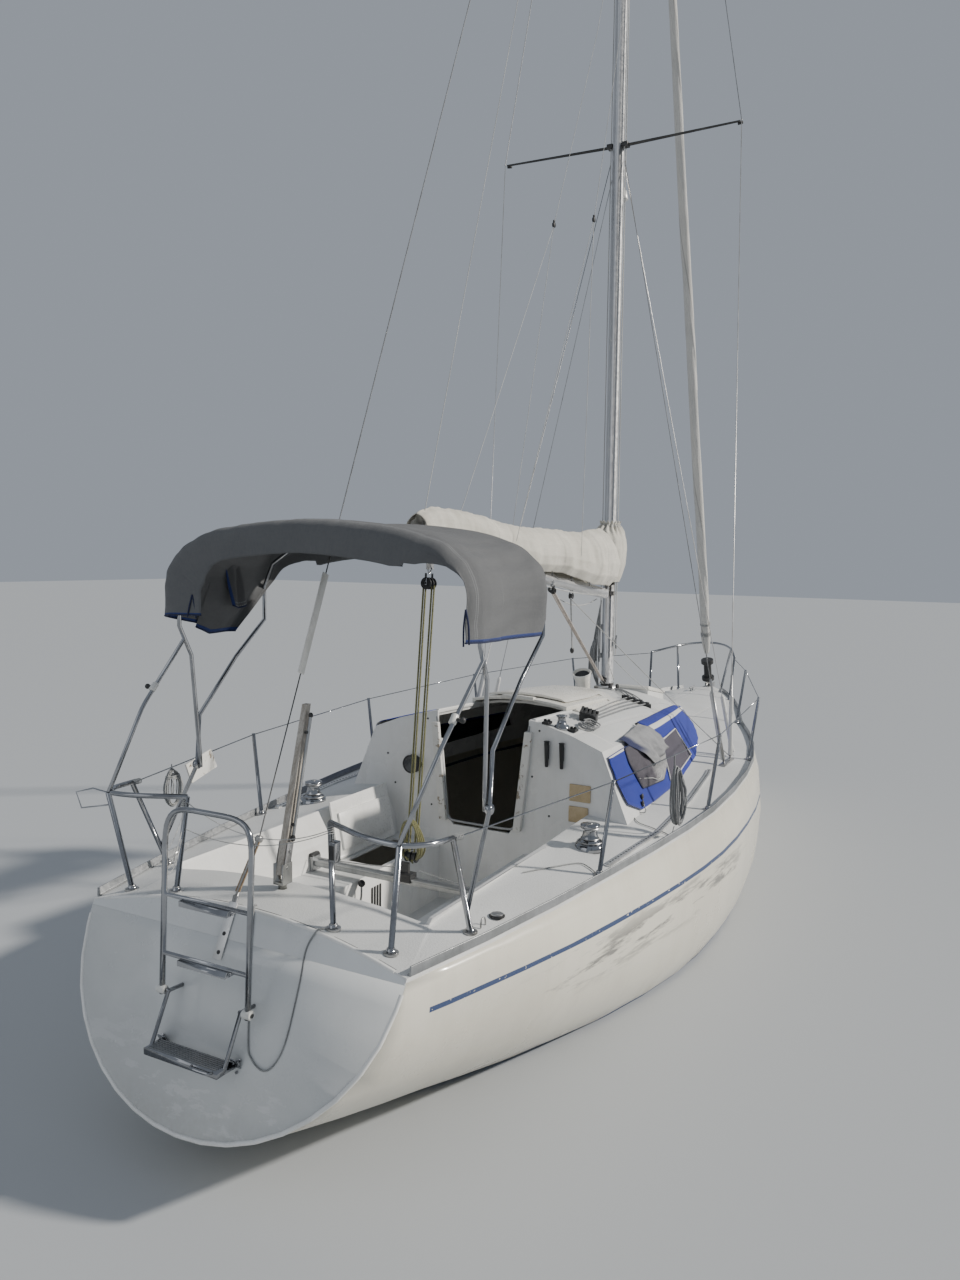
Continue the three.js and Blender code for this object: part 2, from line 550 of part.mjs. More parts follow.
// Cover stations: x, height of the lower edge as a part of the cabin side, width of the strip turned over the roof edge
const WINDOW_COVER = [[-1500, 0.62, 70], [-1450, 0.26, 78], [-1260, 0.09, 85], [-1000, 0.08, 85], [-300, 0.07, 80],
  [400, 0.08, 70], [1000, 0.1, 50], [1480, 0.14, 25], [1560, 0.5, 20]];
function coverSkin([x, low, lip], out) {
  const [, edgeY, edgeZ] = cabinSide([x, 1]);
  const lipZ = Math.max(roofZ(x, edgeY - lip), edgeZ + 0.39 * lip);
  const side = [low, (low + 1) / 2].map((t) => cabinSide([x, t])).map(([, y, z]) => [x, y + out, z + out * 0.4]);
  return [...side, [x, edgeY + out, edgeZ + out * 0.9], [x, edgeY - lip, lipZ + out]];
}
const coverBody = (a, b) => loft(WINDOW_COVER.map((row) => [...coverSkin(row, a), ...coverSkin(row, b).reverse()]));
const windowCover = cut(coverBody(10, 17), deckCover);
node('window_cover_port', windowCover, 'blue');
node('window_cover_starboard', mirrorY(windowCover), 'blue');
// Mesh bag hung on the starboard cover
const BAG = [[-1200, 1.0], [-900, 1.0], [-385, 0.71], [-493, 0.43], [-696, 0.25], [-1148, 0.33], [-1225, 0.73]];
const meshBag = cut(sidePanel(BAG, 8, 32), coverBody(-30, 17 + GAP));
node('mesh_bag', mirrorY(meshBag), 'mesh');

// Mast, spreaders and standing rigging
const mastX = (z) => MAST_X - MAST_RAKE * (z - MAST_FOOT_Z);
function mastRing(z, k = 1) {
  const ring = [];
  for (let i = 0; i < 12; i++) {
    const a = (i / 12) * 2 * Math.PI;
    ring.push([mastX(z) + MAST_HALF[0] * k * Math.cos(a), MAST_HALF[1] * k * Math.sin(a), z]);
  }
  return ring;
}
const SPREADER = { z: 5765, half: 955, aft: 40 };
const boomZ = (x) => BOOM.z + (BOOM.x - x) * BOOM.rise;
const boomEnd = [BOOM.aft, 0, boomZ(BOOM.aft)];
const GOOSENECK = { x: mastX(BOOM.z) - MAST_HALF[0] - 26, z: boomZ(BOOM.x), half: 24 };
const footZ = roofZ(MAST_X, 0) + GAP;
const mast = join(
  loft([mastRing(footZ + 26), mastRing(MASTHEAD_Z)]),
  cut(box(MAST_X - 105, MAST_X + 105, -75, 75, footZ - 30, footZ + 30), cabinOuter.translate([0, 0, GAP])),
  box(mastX(MASTHEAD_Z) - 110, mastX(MASTHEAD_Z) + 120, -14, 14, MASTHEAD_Z - 40, MASTHEAD_Z + 22),
  box(mastX(5700) + 40, mastX(5700) + 108, -24, 24, 5560, 5640),
  ...[1, -1].map((s) => box(GOOSENECK.x - 15, GOOSENECK.x + 60, -12, 12,
    GOOSENECK.z + s * (GOOSENECK.half + 4 + GAP) - 4, GOOSENECK.z + s * (GOOSENECK.half + 4 + GAP) + 4)),
);
node('mast', cut(mast, box(mastX(SPREADER.z) - 29 - GAP, mastX(SPREADER.z) + 29 + GAP, -400, 400,
  SPREADER.z - 12 - GAP, SPREADER.z + 12 + GAP)), 'alloy');
const spreaders = join(
  box(mastX(SPREADER.z) - 29, mastX(SPREADER.z) + 29, -60, 60, SPREADER.z - 12, SPREADER.z + 12),
  ...[1, -1].map((s) => loft([[50, 29, 12], [SPREADER.half, 17, 8]].map(([y, a, b]) => {
    const c = mastX(SPREADER.z) - SPREADER.aft * (y / SPREADER.half);
    return [[c - a, s * y, SPREADER.z], [c, s * y, SPREADER.z - b], [c + a, s * y, SPREADER.z],
      [c, s * y, SPREADER.z + b]];
  }))),
);
node('spreaders', spreaders, 'black');

// Stays
const STAY_R = 3;
const CHAIN = { cap: [530, 1078], lower: [300, 1085] };
function shrouds() {
  const foot = (name, z) => [CHAIN[name][0], CHAIN[name][1], z];
  const z0 = deckZ(...CHAIN.cap);
  const tip = [mastX(SPREADER.z) - SPREADER.aft - 14, SPREADER.half + 12, SPREADER.z];
  const head = [mastX(MASTHEAD_Z - 120), 58, MASTHEAD_Z - 120];
  const hounds = [mastX(SPREADER.z - 120) - 10, 58, SPREADER.z - 120];
  return join(
    cut(box(270, 565, 1062, 1100, z0 - 60, z0 + 12), deckCover),
    rod(foot('cap', z0), foot('cap', z0 + 30), 8), rod(foot('lower', z0), foot('lower', z0 + 30), 8),
    rod(foot('cap', z0 + 20), tip, STAY_R, STAY_R, 6), rod(tip, head, STAY_R, STAY_R, 6), ball(tip, 6, 8, 6),
    rod(foot('lower', z0 + 20), hounds, STAY_R, STAY_R, 6),
    rod(foot('cap', z0 + 30), foot('cap', z0 + 34).map((v, i) => v + (tip[i] - foot('cap', z0)[i]) * 0.13), 11, 9, 8),
    rod(foot('lower', z0 + 30), foot('lower', z0 + 34).map((v, i) => v + (hounds[i] - foot('lower', z0)[i]) * 0.13),
      11, 9, 8),
  );
}
node('shrouds_port', shrouds(), 'steel');
node('shrouds_starboard', mirrorY(shrouds()), 'steel');
const transomX = (z) => TRANSOM_TOP_X - TRANSOM_SLOPE * (TRANSOM_Z - z);
const PLATE_Y = 54;
const BACKSTAY_RING = [-3556, PLATE_Y, 1282];
const plateZ = [832, 1070];
const backstay = join(
  slabXZ([[transomX(plateZ[0]) - 7, plateZ[0]], [transomX(plateZ[0]) - GAP - 0.2, plateZ[0]],
    [transomX(plateZ[1]) - GAP - 0.2, plateZ[1]], [transomX(plateZ[1]) - 7, plateZ[1]]], PLATE_Y - 14, PLATE_Y + 14),
  rod([transomX(1060) - 3, PLATE_Y, 1060], BACKSTAY_RING, 9, 9, 8),
  rod(BACKSTAY_RING, [mastX(MASTHEAD_Z) - 114, 0, MASTHEAD_Z - 6], STAY_R, STAY_R, 6), rod(BACKSTAY_RING.map((v, i) => (i === 1 ? v - 12 : v)), BACKSTAY_RING.map((v, i) => (i === 1 ? v + 12 : v)), 16, 16, 12),
);
node('backstay', backstay, 'steel');
const FORE = { foot: [4035, 0, 1080], head: [mastX(MASTHEAD_Z) + 122, 0, MASTHEAD_Z - 20] };
const foreAt = (t) => FORE.foot.map((v, i) => v + (FORE.head[i] - v) * t);
const stemZ = deckZ(4035, 0);
const foreRod = (t0, t1, r0, r1, n) => rod(foreAt(t0), foreAt(t1), r0, r1, n);
// Radius of the rolled sail at fractions of the stay
const ROLL = [[0.042, 26], [0.06, 46], [0.5, 40], [0.93, 22], [0.955, 9]];
const rollDir = new THREE.Vector3(...FORE.head).sub(new THREE.Vector3(...FORE.foot)).normalize();
const rollSide = new THREE.Vector3(0, 1, 0);
const rollOut = rollDir.clone().cross(rollSide);
const rolledSail = loft(ROLL.map(([t, r]) => Array.from({ length: 12 }, (_, k) => {
  const a = (k / 12) * 2 * Math.PI;
  return new THREE.Vector3(...foreAt(t)).addScaledVector(rollSide, r * Math.cos(a))
    .addScaledVector(rollOut, r * Math.sin(a)).toArray();
})));
node('furled_genoa', join(foreRod(0.0042, 0.9995, 4, 4, 8), rolledSail), 'sail');
node('furler_drum', cut(join(foreRod(0.0105, 0.0145, 68, 68, 14), foreRod(0.0144, 0.03, 42, 42, 14),
  foreRod(0.0299, 0.034, 68, 68, 14)), foreRod(0.0, 0.06, 4 + GAP, 4 + GAP, 8)), 'black');
const stemFitting = cut(join(box(3860, 4100, -34, 34, stemZ - 40, stemZ + 9), box(4018, 4050, -9, 9, stemZ, stemZ + 46),
  box(4010, 4150, -38, -30, stemZ - 20, stemZ + 40), box(4010, 4150, 30, 38, stemZ - 20, stemZ + 40),
  rod([4115, -36, stemZ + 14], [4115, 36, stemZ + 14], 14, 14, 10)),
deckCover, foreRod(-0.01, 0.06, 4 + GAP, 4 + GAP, 8), hullBody(-GAP, 1));
node('stem_fitting', stemFitting, 'steel');
function cleat(x, y, turn) {
  const z = deckZ(x, y) + 1;
  const horn = rod([x - 95, y, z + 38], [x + 95, y, z + 38], 8, 8, 8);
  const feet = [-38, 38].map((d) => rod([x + d, y, z - 20], [x + d, y, z + 40], 9, 9, 8));
  return cut(join(horn, ...feet, box(x - 60, x + 60, y - 18, y + 18, z - 20, z + 4)), deckCover);
}
node('bow_cleat', cleat(3330, 0), 'alloy');

// Boom with the furled mainsail under its cover
const boomFront = GOOSENECK.x - 24;
const boom = join(rod([boomFront, 0, boomZ(boomFront)], boomEnd, BOOM.r, BOOM.r, 12),
  rod([GOOSENECK.x, 0, GOOSENECK.z - GOOSENECK.half], [GOOSENECK.x, 0, GOOSENECK.z + GOOSENECK.half], 15, 15, 10),
  rod([GOOSENECK.x, 0, boomZ(BOOM.x)], [boomFront - 30, 0, boomZ(boomFront)], 13, 13, 8),
  box(-2215, -2165, -10, 10, boomZ(-2190) - 110, boomZ(-2190) - 30));
node('boom', boom, 'alloy');
// Cover sections: x, half width, height over the boom axis
const COVER = [[-2320, 60, 140], [-2120, 82, 190], [-1500, 100, 262], [-800, 120, 330], [-200, 132, 395],
  [250, 140, 450], [470, 140, 480]];
function coverRing(x, w, h) {
  const z = boomZ(x);
  return [[w * 0.5, 8], [w * 0.95, h * 0.2], [w, h * 0.42], [w * 0.86, h * 0.68], [w * 0.5, h * 0.92], [0, h],
    [-w * 0.5, h * 0.92], [-w * 0.86, h * 0.68], [-w, h * 0.42], [-w * 0.95, h * 0.2], [-w * 0.5, 8]]
    .map(([y, dz]) => [x, y, z + dz]);
}
const SEAM_R = 150;
const seamRod = (r) => rod([GOOSENECK.x, 0, 2000], [GOOSENECK.x, 0, 3200], r, r, 24);
const boomClear = rod([boomFront + 200, 0, boomZ(boomFront + 200)], [BOOM.aft - 100, 0, boomZ(BOOM.aft - 100)],
  BOOM.r + GAP, BOOM.r + GAP, 12);
node('sail_cover', cut(loft(COVER.map((c) => coverRing(...c))), boomClear, seamRod(SEAM_R + 8)), 'canvas');
const collarRing = (z, f, a, w) => {
  const ring = [];
  for (let i = 0; i < 14; i++) {
    const t = (i / 14) * 2 * Math.PI;
    ring.push([mastX(z) + (Math.cos(t) > 0 ? f : a) * Math.cos(t), w * Math.sin(t), z]);
  }
  return ring;
};
const collar = cut(
  loft([collarRing(2370, 90, 170, 70), collarRing(2500, 190, 220, 118), collarRing(2640, 215, 220, 128),
    collarRing(2760, 170, 210, 105), collarRing(2840, 85, 120, 64)]),
  loft([mastRing(2200, 1.008), mastRing(3000, 1.008)]),
  box(-900, GOOSENECK.x - SEAM_R, -400, 400, 2000, 3200),
);
node('sail_cover_front', collar.intersect(join(seamRod(SEAM_R), box(GOOSENECK.x, 1200, -400, 400, 2000, 3200))), 'canvas');

// Rails
function stanchionTop(x, y, lean) {
  return [x, y + lean, deckZ(x, y) + 495];
}
const POSTS = [[-2324, 1098], [-849, 1265], [679, 1182], [2005, 786]];
const foot = (x, y) => cut(rod([x, y, deckZ(x, y) - 40], [x, y, deckZ(x, y) + 20], 25, 18, 10), deckCover);
const PUSHPIT = {
  inner: [-3672, 440], corner: [-3672, 724], forward: [-3295, 881],
  tops: [[-3640, 400, 1445], [-3735, 640, 1440], [-3735, 800, 1432], [-3640, 880, 1425], [-3500, 905, 1420]],
};
function guardRail() {
  const tops = POSTS.map(([x, y]) => stanchionTop(x, y, 62));
  const posts = POSTS.map(([x, y], i) => join(rod([x, y, deckZ(x, y) + 5], tops[i], TUBE, TUBE * 0.85, 8), foot(x, y)));
  const wire = [[-3478, 908, 1424], ...tops, [3262, 448, 1528]].map(([x, y, z]) => [x, y, z - 8]);
  return join(...posts, tube(wire, 3.5, 6));
}
node('guard_rail_port', guardRail(), 'steel');
node('guard_rail_starboard', mirrorY(guardRail()), 'steel');
function pushpit(r) {
  const leg = ([x, y], top) => rod([x, y, deckZ(x, y) + 5], top, r, r, 8);
  return join(tube(bend(PUSHPIT.tops, 60), r), leg(PUSHPIT.inner, PUSHPIT.tops[0]),
    leg(PUSHPIT.corner, PUSHPIT.tops[2]), leg(PUSHPIT.forward, PUSHPIT.tops[4]));
}
const pushpitPort = join(pushpit(TUBE), ...[PUSHPIT.inner, PUSHPIT.corner, PUSHPIT.forward].map((p) => foot(...p)));
const bracketRod = (r) => tube([[-3735, 800, 1432], [-3762, 868, 1450], [-3830, 900, 1443], [-3802, 900, 1362],
  [-3728, 791, 1376]], r, 6);
const pushpitClear = join(pushpit(TUBE + GAP), mirrorY(pushpit(TUBE + GAP)), bracketRod(4 + GAP));
node('pushpit_port', join(pushpitPort, bracketRod(4)), 'steel');
node('pushpit_starboard', mirrorY(pushpitPort), 'steel');
const PULPIT = [[3205, 432, 0, 3290, 448, 1530], [3620, 232, 0, 3770, 300, 1572]];
function pulpit() {
  const half = (s) => {
    const [a, b] = PULPIT.map((p) => [p[3], s * p[4], p[5]]);
    return [a, b, [3960, s * 190, 1590], [4060, s * 70, 1600]];
  };
  const rail = [...half(1), ...half(-1).reverse()];
  const legs = [1, -1].flatMap((s) => PULPIT.map((p) => join(
    rod([p[0], s * p[1], deckZ(p[0], p[1]) + 5], [p[3], s * p[4], p[5]], TUBE, TUBE, 8), foot(p[0], s * p[1]))));
  return join(tube(bend(rail, 60), TUBE), ...legs);
}
node('pulpit', pulpit(), 'steel');

// Traveller and winches
const beam = join(box(TRAVELLER.x - 21, TRAVELLER.x + 21, -TRAVELLER.half + 2, TRAVELLER.half - 2, TRAVELLER.z - 24,
  TRAVELLER.z + 8),
...[1, -1].map((s) => box(TRAVELLER.x - 38, TRAVELLER.x + 38, s * (TRAVELLER.half - 12) - 12,
  s * (TRAVELLER.half - 12) + 12, SEAT_Z - 5, TRAVELLER.z + 32)));
node('traveller_beam', beam.intersect(slabYZ(spaceRing(-GAP, -GAP), -3000, -2000)), 'alloy');
const CAR_Y = 0;
node('traveller_car', cut(join(box(TRAVELLER.x - 34, TRAVELLER.x + 34, CAR_Y - 52, CAR_Y + 52, TRAVELLER.z - 8,
  TRAVELLER.z + 38), box(TRAVELLER.x - 9, TRAVELLER.x + 9, CAR_Y - 24, CAR_Y + 24, TRAVELLER.z + 30, TRAVELLER.z + 96)),
box(TRAVELLER.x - 21.4, TRAVELLER.x + 21.4, -600, 600, TRAVELLER.z - 40, TRAVELLER.z + 8.4)), 'black');
function winch(x, y, z, k) {
  const profile = [[0, 0], [68, 0], [68, 10], [50, 16], [44, 40], [36, 70], [40, 84], [52, 92], [54, 104], [30, 110],
    [0, 112]].map(([r, h]) => new THREE.Vector2(r * k, h * k));
  const g = new THREE.LatheGeometry(profile, 14);
  g.rotateX(Math.PI / 2);
  g.translate(x, y, z);
  return solid(g);
}
const winchPad = (x, y) => cut(rod([x, y, deckZ(x, y) - 60], [x, y, deckZ(x, y) + 26], 88, 78, 14), deckCover);
const WINCH = [-2030, 930];
const cockpitWinch = join(winch(...WINCH, deckZ(...WINCH) + 25, 1), winchPad(...WINCH));
node('winch_port', cockpitWinch, 'steel');
node('winch_starboard', mirrorY(cockpitWinch), 'steel');
const overRoof = cabinOuter.translate([0, 0, GAP]);
const roofBase = (x, y, r, up) => cut(rod([x, y, roofZ(x, y) - 60], [x, y, roofZ(x, y) + up], r, r, 14), overRoof);
const CABIN_WINCH = [-1452, -505];
node('cabin_winch', join(winch(...CABIN_WINCH, roofZ(...CABIN_WINCH) + 10, 0.65), roofBase(...CABIN_WINCH, 50, 11)), 'steel');
// Block on the roof with a turned rectangle as its plan: middle, half length, half width, turn, height
function onRoof(x, y, a, b, turn, up) {
  const [c, s] = [Math.cos(turn), Math.sin(turn)];
  const plan = [[-a, -b], [a, -b], [a, b], [-a, b]].map(([p, q]) => [x + p * c - q * s, y + p * s + q * c]);
  const rise = (sink, h) => plan.map(([px, py]) => [px, py, sink ? roofZ(x, y) - 120 : roofZ(px, py) + h]);
  return cut(loft([rise(true, 0), rise(false, up)]), overRoof);
}
node('rope_clutches', onRoof(-1015, -510, 78, 54, 0.28, 52), 'black');
node('deck_organizer', onRoof(200, -425, 24, 112, 0.3, 26), 'black');
const COWL = [560, 160];
const cowl = cut(join(roofBase(...COWL, 62, 70), rod([COWL[0], COWL[1], roofZ(...COWL) + 60],
  [COWL[0] - 30, COWL[1], roofZ(...COWL) + 130], 60, 78, 14)),
rod([COWL[0] - 6, COWL[1], roofZ(...COWL) + 80], [COWL[0] - 34, COWL[1], roofZ(...COWL) + 145], 52, 72, 14));
node('cowl_vent', cowl, 'gelcoat');

// Round instrument on the bulkhead, and the locker lid standing open on the port seat
const INSTRUMENT = [498, 1195];
node('bulkhead_instrument', rod([BULKHEAD_X - GAP, ...INSTRUMENT], [BULKHEAD_X - 42, ...INSTRUMENT], 61, 56, 18), 'black');
function lockerLid() {
  const lean = THREE.MathUtils.degToRad(LID.lean);
  const [c, s] = [Math.cos(lean), Math.sin(lean)];
  const knuckle = [LID.y, SEAT_Z + LID.knuckle + GAP];
  const at = (up, inward) => [knuckle[0] + up * s - inward * c, knuckle[1] + up * c + inward * s];
  const ring = (t0, t1, h) => [at(t0, 0), at(t1, 0), at(t1, h), at(t0, h)];
  return join(slabYZ(ring(0, LID.width, LID.plate), LID.x0, LID.x1),
    slabYZ(ring(40, 262, LID.thick), LID.x0 + 50, LID.x1 - 50),
    rod([LID.x0, ...knuckle], [LID.x1, ...knuckle], LID.knuckle, LID.knuckle, 12));
}
node('locker_lid', lockerLid(), 'gelcoat');

// Tiller, folded up on the rudder head
const TILLER_LEAN = 0.232;
function tiller() {
  const up = (t, off = 0) => [STOCK_X + Math.sin(TILLER_LEAN) * t + off, 0, TILLER_Z + Math.cos(TILLER_LEAN) * t];
  const section = (t, a, b) => [[-a, -b], [a, -b], [a, b], [-a, b]].map(([dx, dy]) => {
    const p = up(t, dx);
    return [p[0], dy, p[2]];
  });
  const pinHole = rod([STOCK_X, -60, TILLER_Z], [STOCK_X, 60, TILLER_Z], TILLER_PIN + 0.5, TILLER_PIN + 0.5, 12);
  return cut(join(loft([section(-26, 20, 17), section(90, 22, 19), section(420, 19, 17), section(750, 15, 14)]),
    rod(up(620, 24), up(150, 30), 9, 9, 8), ball(up(620, 22), 14, 8, 6), ball(up(160, 26), 13, 8, 6)), pinHole);
}
node('tiller', tiller(), 'wood');

// Swim ladder, folded up, on its fixed bracket
const LADDER = { x: -3962, z: 712, half: 234, top: 1492, topX: -3925 };
const ladderPoints = [[LADDER.x, LADDER.half, LADDER.z - 20], [LADDER.topX - 6, LADDER.half, LADDER.top - 90],
  [LADDER.topX, LADDER.half - 30, LADDER.top - 25], [LADDER.topX, LADDER.half - 95, LADDER.top]];
const ladderRail = [...ladderPoints, ...ladderPoints.slice().reverse().map(([x, y, z]) => [x, -y, z])];
const treadX = (z) => LADDER.x + (LADDER.topX - LADDER.x) * ((z - LADDER.z) / (LADDER.top - LADDER.z));
const treads = [870, 1120].map((z) => join(
  rod([treadX(z), -LADDER.half, z], [treadX(z), LADDER.half, z], 10, 10, 8),
  box(treadX(z) - 24, treadX(z) + 30, -130, 130, z - 30, z - 6)));
node('swim_ladder', join(tube(bend(ladderRail, 60), TUBE), ...treads), 'steel');
function ladderBracket() {
  const low = [-4062, 509];
  const half = LADDER.half - 36;
  const sides = [1, -1].map((s) => join(
    rod([LADDER.x, s * half, LADDER.z], [low[0], s * half, low[1]], 9, 9, 8),
    rod([LADDER.x, s * (half - 9), LADDER.z], [LADDER.x, s * (LADDER.half - TUBE - 0.4), LADDER.z], 8, 8, 8),
    rod([LADDER.x, s * half, LADDER.z], [transomX(LADDER.z) - 1.2, s * half, LADDER.z - 6], 9, 9, 8),
    rod([low[0], s * half, low[1]], [transomX(low[1]) - 1.2, s * half, low[1] - 6], 9, 9, 8)));
  return cut(join(...sides, box(low[0] - 38, low[0] + 52, -half, half, low[1] - 12, low[1] + 16)),
    transomSlab());
}
function transomSlab() {
  return slabXZ([[transomX(300) - GAP, 300], [transomX(1000) - GAP, 1000], [-3000, 1000], [-3000, 300]], -900, 900);
}
node('ladder_bracket', ladderBracket(), 'steel');

// Bimini: canopy and its two hinged frames
const BIMINI = { aft: -3345, fore: -2490, half: 885, low: 2215, top: 2712, foot: [-3307, 885, 1076] };
const canopyArch = (drop, inset) => [[BIMINI.half - inset, BIMINI.low], [BIMINI.half - inset, 2400],
  [BIMINI.half - 60 - inset, 2530], [BIMINI.half - 210 - inset, 2625], [500, 2672], [250, 2700]]
  .map(([y, z], i) => [y, z - (i ? drop : 0)]);
function canopyRing(x, drop) {
  const outer = canopyArch(drop, 0);
  const inner = canopyArch(drop, 9).map(([y, z], i) => [y, i ? z - 8 : z]);
  const full = (side, mid) => [...side, [0, mid], ...side.slice().reverse().map(([y, z]) => [-y, z])];
  return [...full(outer, BIMINI.top - drop), ...full(inner, BIMINI.top - 8 - drop).reverse()].map(([y, z]) => [x, y, z]);
}

const DROPS = [[BIMINI.aft, 60], [BIMINI.aft + 90, 8], [-2950, 0], [BIMINI.fore - 70, 20], [BIMINI.fore, 75]];
function canopyDrop(x) {
  const i = Math.min(DROPS.length - 2, Math.max(0, DROPS.findIndex((d, k) => k < 4 && x <= DROPS[k + 1][0])));
  const [a, b] = [DROPS[i], DROPS[i + 1]];
  return a[1] + (b[1] - a[1]) * ((x - a[0]) / (b[0] - a[0]));
}
const FRAME_R = 11;
const staySlot = rod(BACKSTAY_RING, [mastX(MASTHEAD_Z) - 114, 0, MASTHEAD_Z - 6], 14, 14, 8);
node('bimini_canopy', cut(loft(DROPS.map(([x, drop]) => canopyRing(x, drop))), staySlot), 'grey');
const PIVOT = [-3100, BIMINI.half - 9 - FRAME_R - GAP, 1440];
// Hoop bent under the canopy, from one pivot to the other
function hoop(x, start) {
  const side = canopyArch(canopyDrop(x), 9 + FRAME_R + GAP).map(([y, z], i) => [x, y, z - (i ? 8 + FRAME_R + 1 : 40)]);
  const port = [...start, ...side];
  return [...port, ...port.slice().reverse().map(([px, y, z]) => [px, -y, z])];
}
const HOOP_X = [-3215, -2565];
const HUB = { r: 24, half: 12 };
const FOOT_CLAMP = [-3336, 886, 1055];
const bothSides = (port) => [port, mirrorY(port)];
const legY = PIVOT[1] - HUB.half - FRAME_R - GAP - 0.05;
const brace = tube(bend([[-3180, PIVOT[1], 2110], [-3480, 845, 1800], [-3735, 797, 1434]], 40), FRAME_R - 1);
node('bimini_frame_aft', cut(join(tube(hoop(HOOP_X[0], [[PIVOT[0], legY, PIVOT[2] - 12], [PIVOT[0] - 3, legY, 1490],
  [-3138, PIVOT[1] - 4, 2020]]), FRAME_R),
  ...bothSides(brace)), pushpitClear), 'steel');
const hub = rod([PIVOT[0], PIVOT[1] - HUB.half, PIVOT[2]], [PIVOT[0], PIVOT[1] + HUB.half, PIVOT[2]], HUB.r, HUB.r, 14);
node('bimini_frame_forward', cut(join(
  tube(hoop(HOOP_X[1], [PIVOT, [-3080, PIVOT[1], 1700], [-2800, PIVOT[1], 1984]]), FRAME_R),
  ...bothSides(hub), ...bothSides(rod(PIVOT, FOOT_CLAMP, FRAME_R, FRAME_R, 8))), pushpitClear), 'steel');

// Genoa tracks along the side decks
function track() {
  const pts = [[-2190, 1090], [-1500, 1150], [-800, 1128], [-100, 1062], [60, 1040]];
  return cut(loft(pts.map(([x, y]) => {
    const z = deckZ(x, y);
    return [[x, y - 16, z - 8], [x, y + 16, z - 8], [x, y + 16, z + 12], [x, y - 16, z + 12]];
  })), deckCover);
}
node('genoa_track_port', track(), 'alloy');
node('genoa_track_starboard', mirrorY(track()), 'alloy');

// Rope and cord that hang on the boat
function hank(levels, depth, count = 8) {
  return loft(levels.map(([x, y, z, w]) => Array.from({ length: count }, (_, k) => {
    const a = ((k + 0.5) / count) * 2 * Math.PI;
    return [x + depth[0] * w * Math.cos(a), y + depth[1] * w * Math.sin(a), z];
  })));
}
const carTop = TRAVELLER.z + 96 + GAP;
node('mainsheet_coil', hank([[-2420, -40, carTop, 36], [-2420, -44, 905, 78], [-2421, -43, 960, 82], [-2422, -37, 1040, 60],
  [-2424, -22, 1120, 30], [-2425, -16, 1160, 14]], [0.55, 1]), 'rope');
const railWire = (s) => tube([[-3478, 908 * s, 1424], ...POSTS.map(([x, y]) => stanchionTop(x, y, 62)).map(([x, y, z]) => [x, y * s, z])]
  .map(([x, y, z]) => [x, y, z - 8]), 3.5 + GAP, 6);
node('lifeline_hank', cut(hank([[-1520, -1262, 1020, 40], [-1500, -1262, 1090, 98], [-1495, -1260, 1180, 106],
  [-1520, -1256, 1300, 70], [-1545, -1248, 1400, 30], [-1550, -1247, 1456, 18]], [1, 0.36]), railWire(-1)), 'rope');
node('pushpit_coil', cut(hank([[-3176, 962, 1205, 26], [-3175, 962, 1255, 60], [-3174, 963, 1330, 66], [-3172, 968, 1400, 38],
  [-3171, 971, 1440, 18]], [1, 0.4]), railWire(1)), 'greyRope');
// White board tied to the port guard wire
const wireY = (x) => 908 + (x + 3478) * 0.2184;
node('rail_board', loft([15.5, 3.45].map((off) => [[-3060, 1413], [-2812, 1452], [-2752, 1338], [-3005, 1300]]
  .map(([x, z]) => [x, wireY(x) - off, z]))), 'paintedWood');
// Sideways place and height of the cord down the transom and up again. Both ends lie on the edge of the deck.
const CORD = [[-60, 1036.4], [-113, 876], [-218, 597], [-260, 538], [-331, 513], [-377, 550], [-397, 635], [-388, 821],
  [-375, 942], [-403, 1013.9]].map(([y, z]) => [transomX(z) - 4.5, y, z]);
node('transom_cord', tube([[-3682, -40, 1036.7], ...CORD, [-3700, -414, 1013.5]], 3.5, 6), 'greyRope');

export default yacht;
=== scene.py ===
import json
import math

import bmesh
import bpy
from mathutils import Matrix, Vector, noise


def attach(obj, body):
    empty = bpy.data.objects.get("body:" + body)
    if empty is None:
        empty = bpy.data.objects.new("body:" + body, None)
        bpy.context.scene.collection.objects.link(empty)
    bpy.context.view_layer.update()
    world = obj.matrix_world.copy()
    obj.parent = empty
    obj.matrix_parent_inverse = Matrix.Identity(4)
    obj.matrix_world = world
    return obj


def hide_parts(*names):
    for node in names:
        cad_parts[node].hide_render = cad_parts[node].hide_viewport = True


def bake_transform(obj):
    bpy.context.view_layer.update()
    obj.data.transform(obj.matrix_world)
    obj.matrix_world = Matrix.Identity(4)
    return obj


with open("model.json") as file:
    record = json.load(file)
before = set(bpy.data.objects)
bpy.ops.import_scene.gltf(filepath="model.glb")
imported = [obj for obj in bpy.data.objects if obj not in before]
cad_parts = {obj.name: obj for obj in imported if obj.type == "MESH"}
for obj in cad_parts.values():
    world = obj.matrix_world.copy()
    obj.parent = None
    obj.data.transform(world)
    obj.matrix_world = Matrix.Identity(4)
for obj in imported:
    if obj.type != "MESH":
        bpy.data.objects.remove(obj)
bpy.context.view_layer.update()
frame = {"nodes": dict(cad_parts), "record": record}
nodes = frame["nodes"]
scene = bpy.context.scene


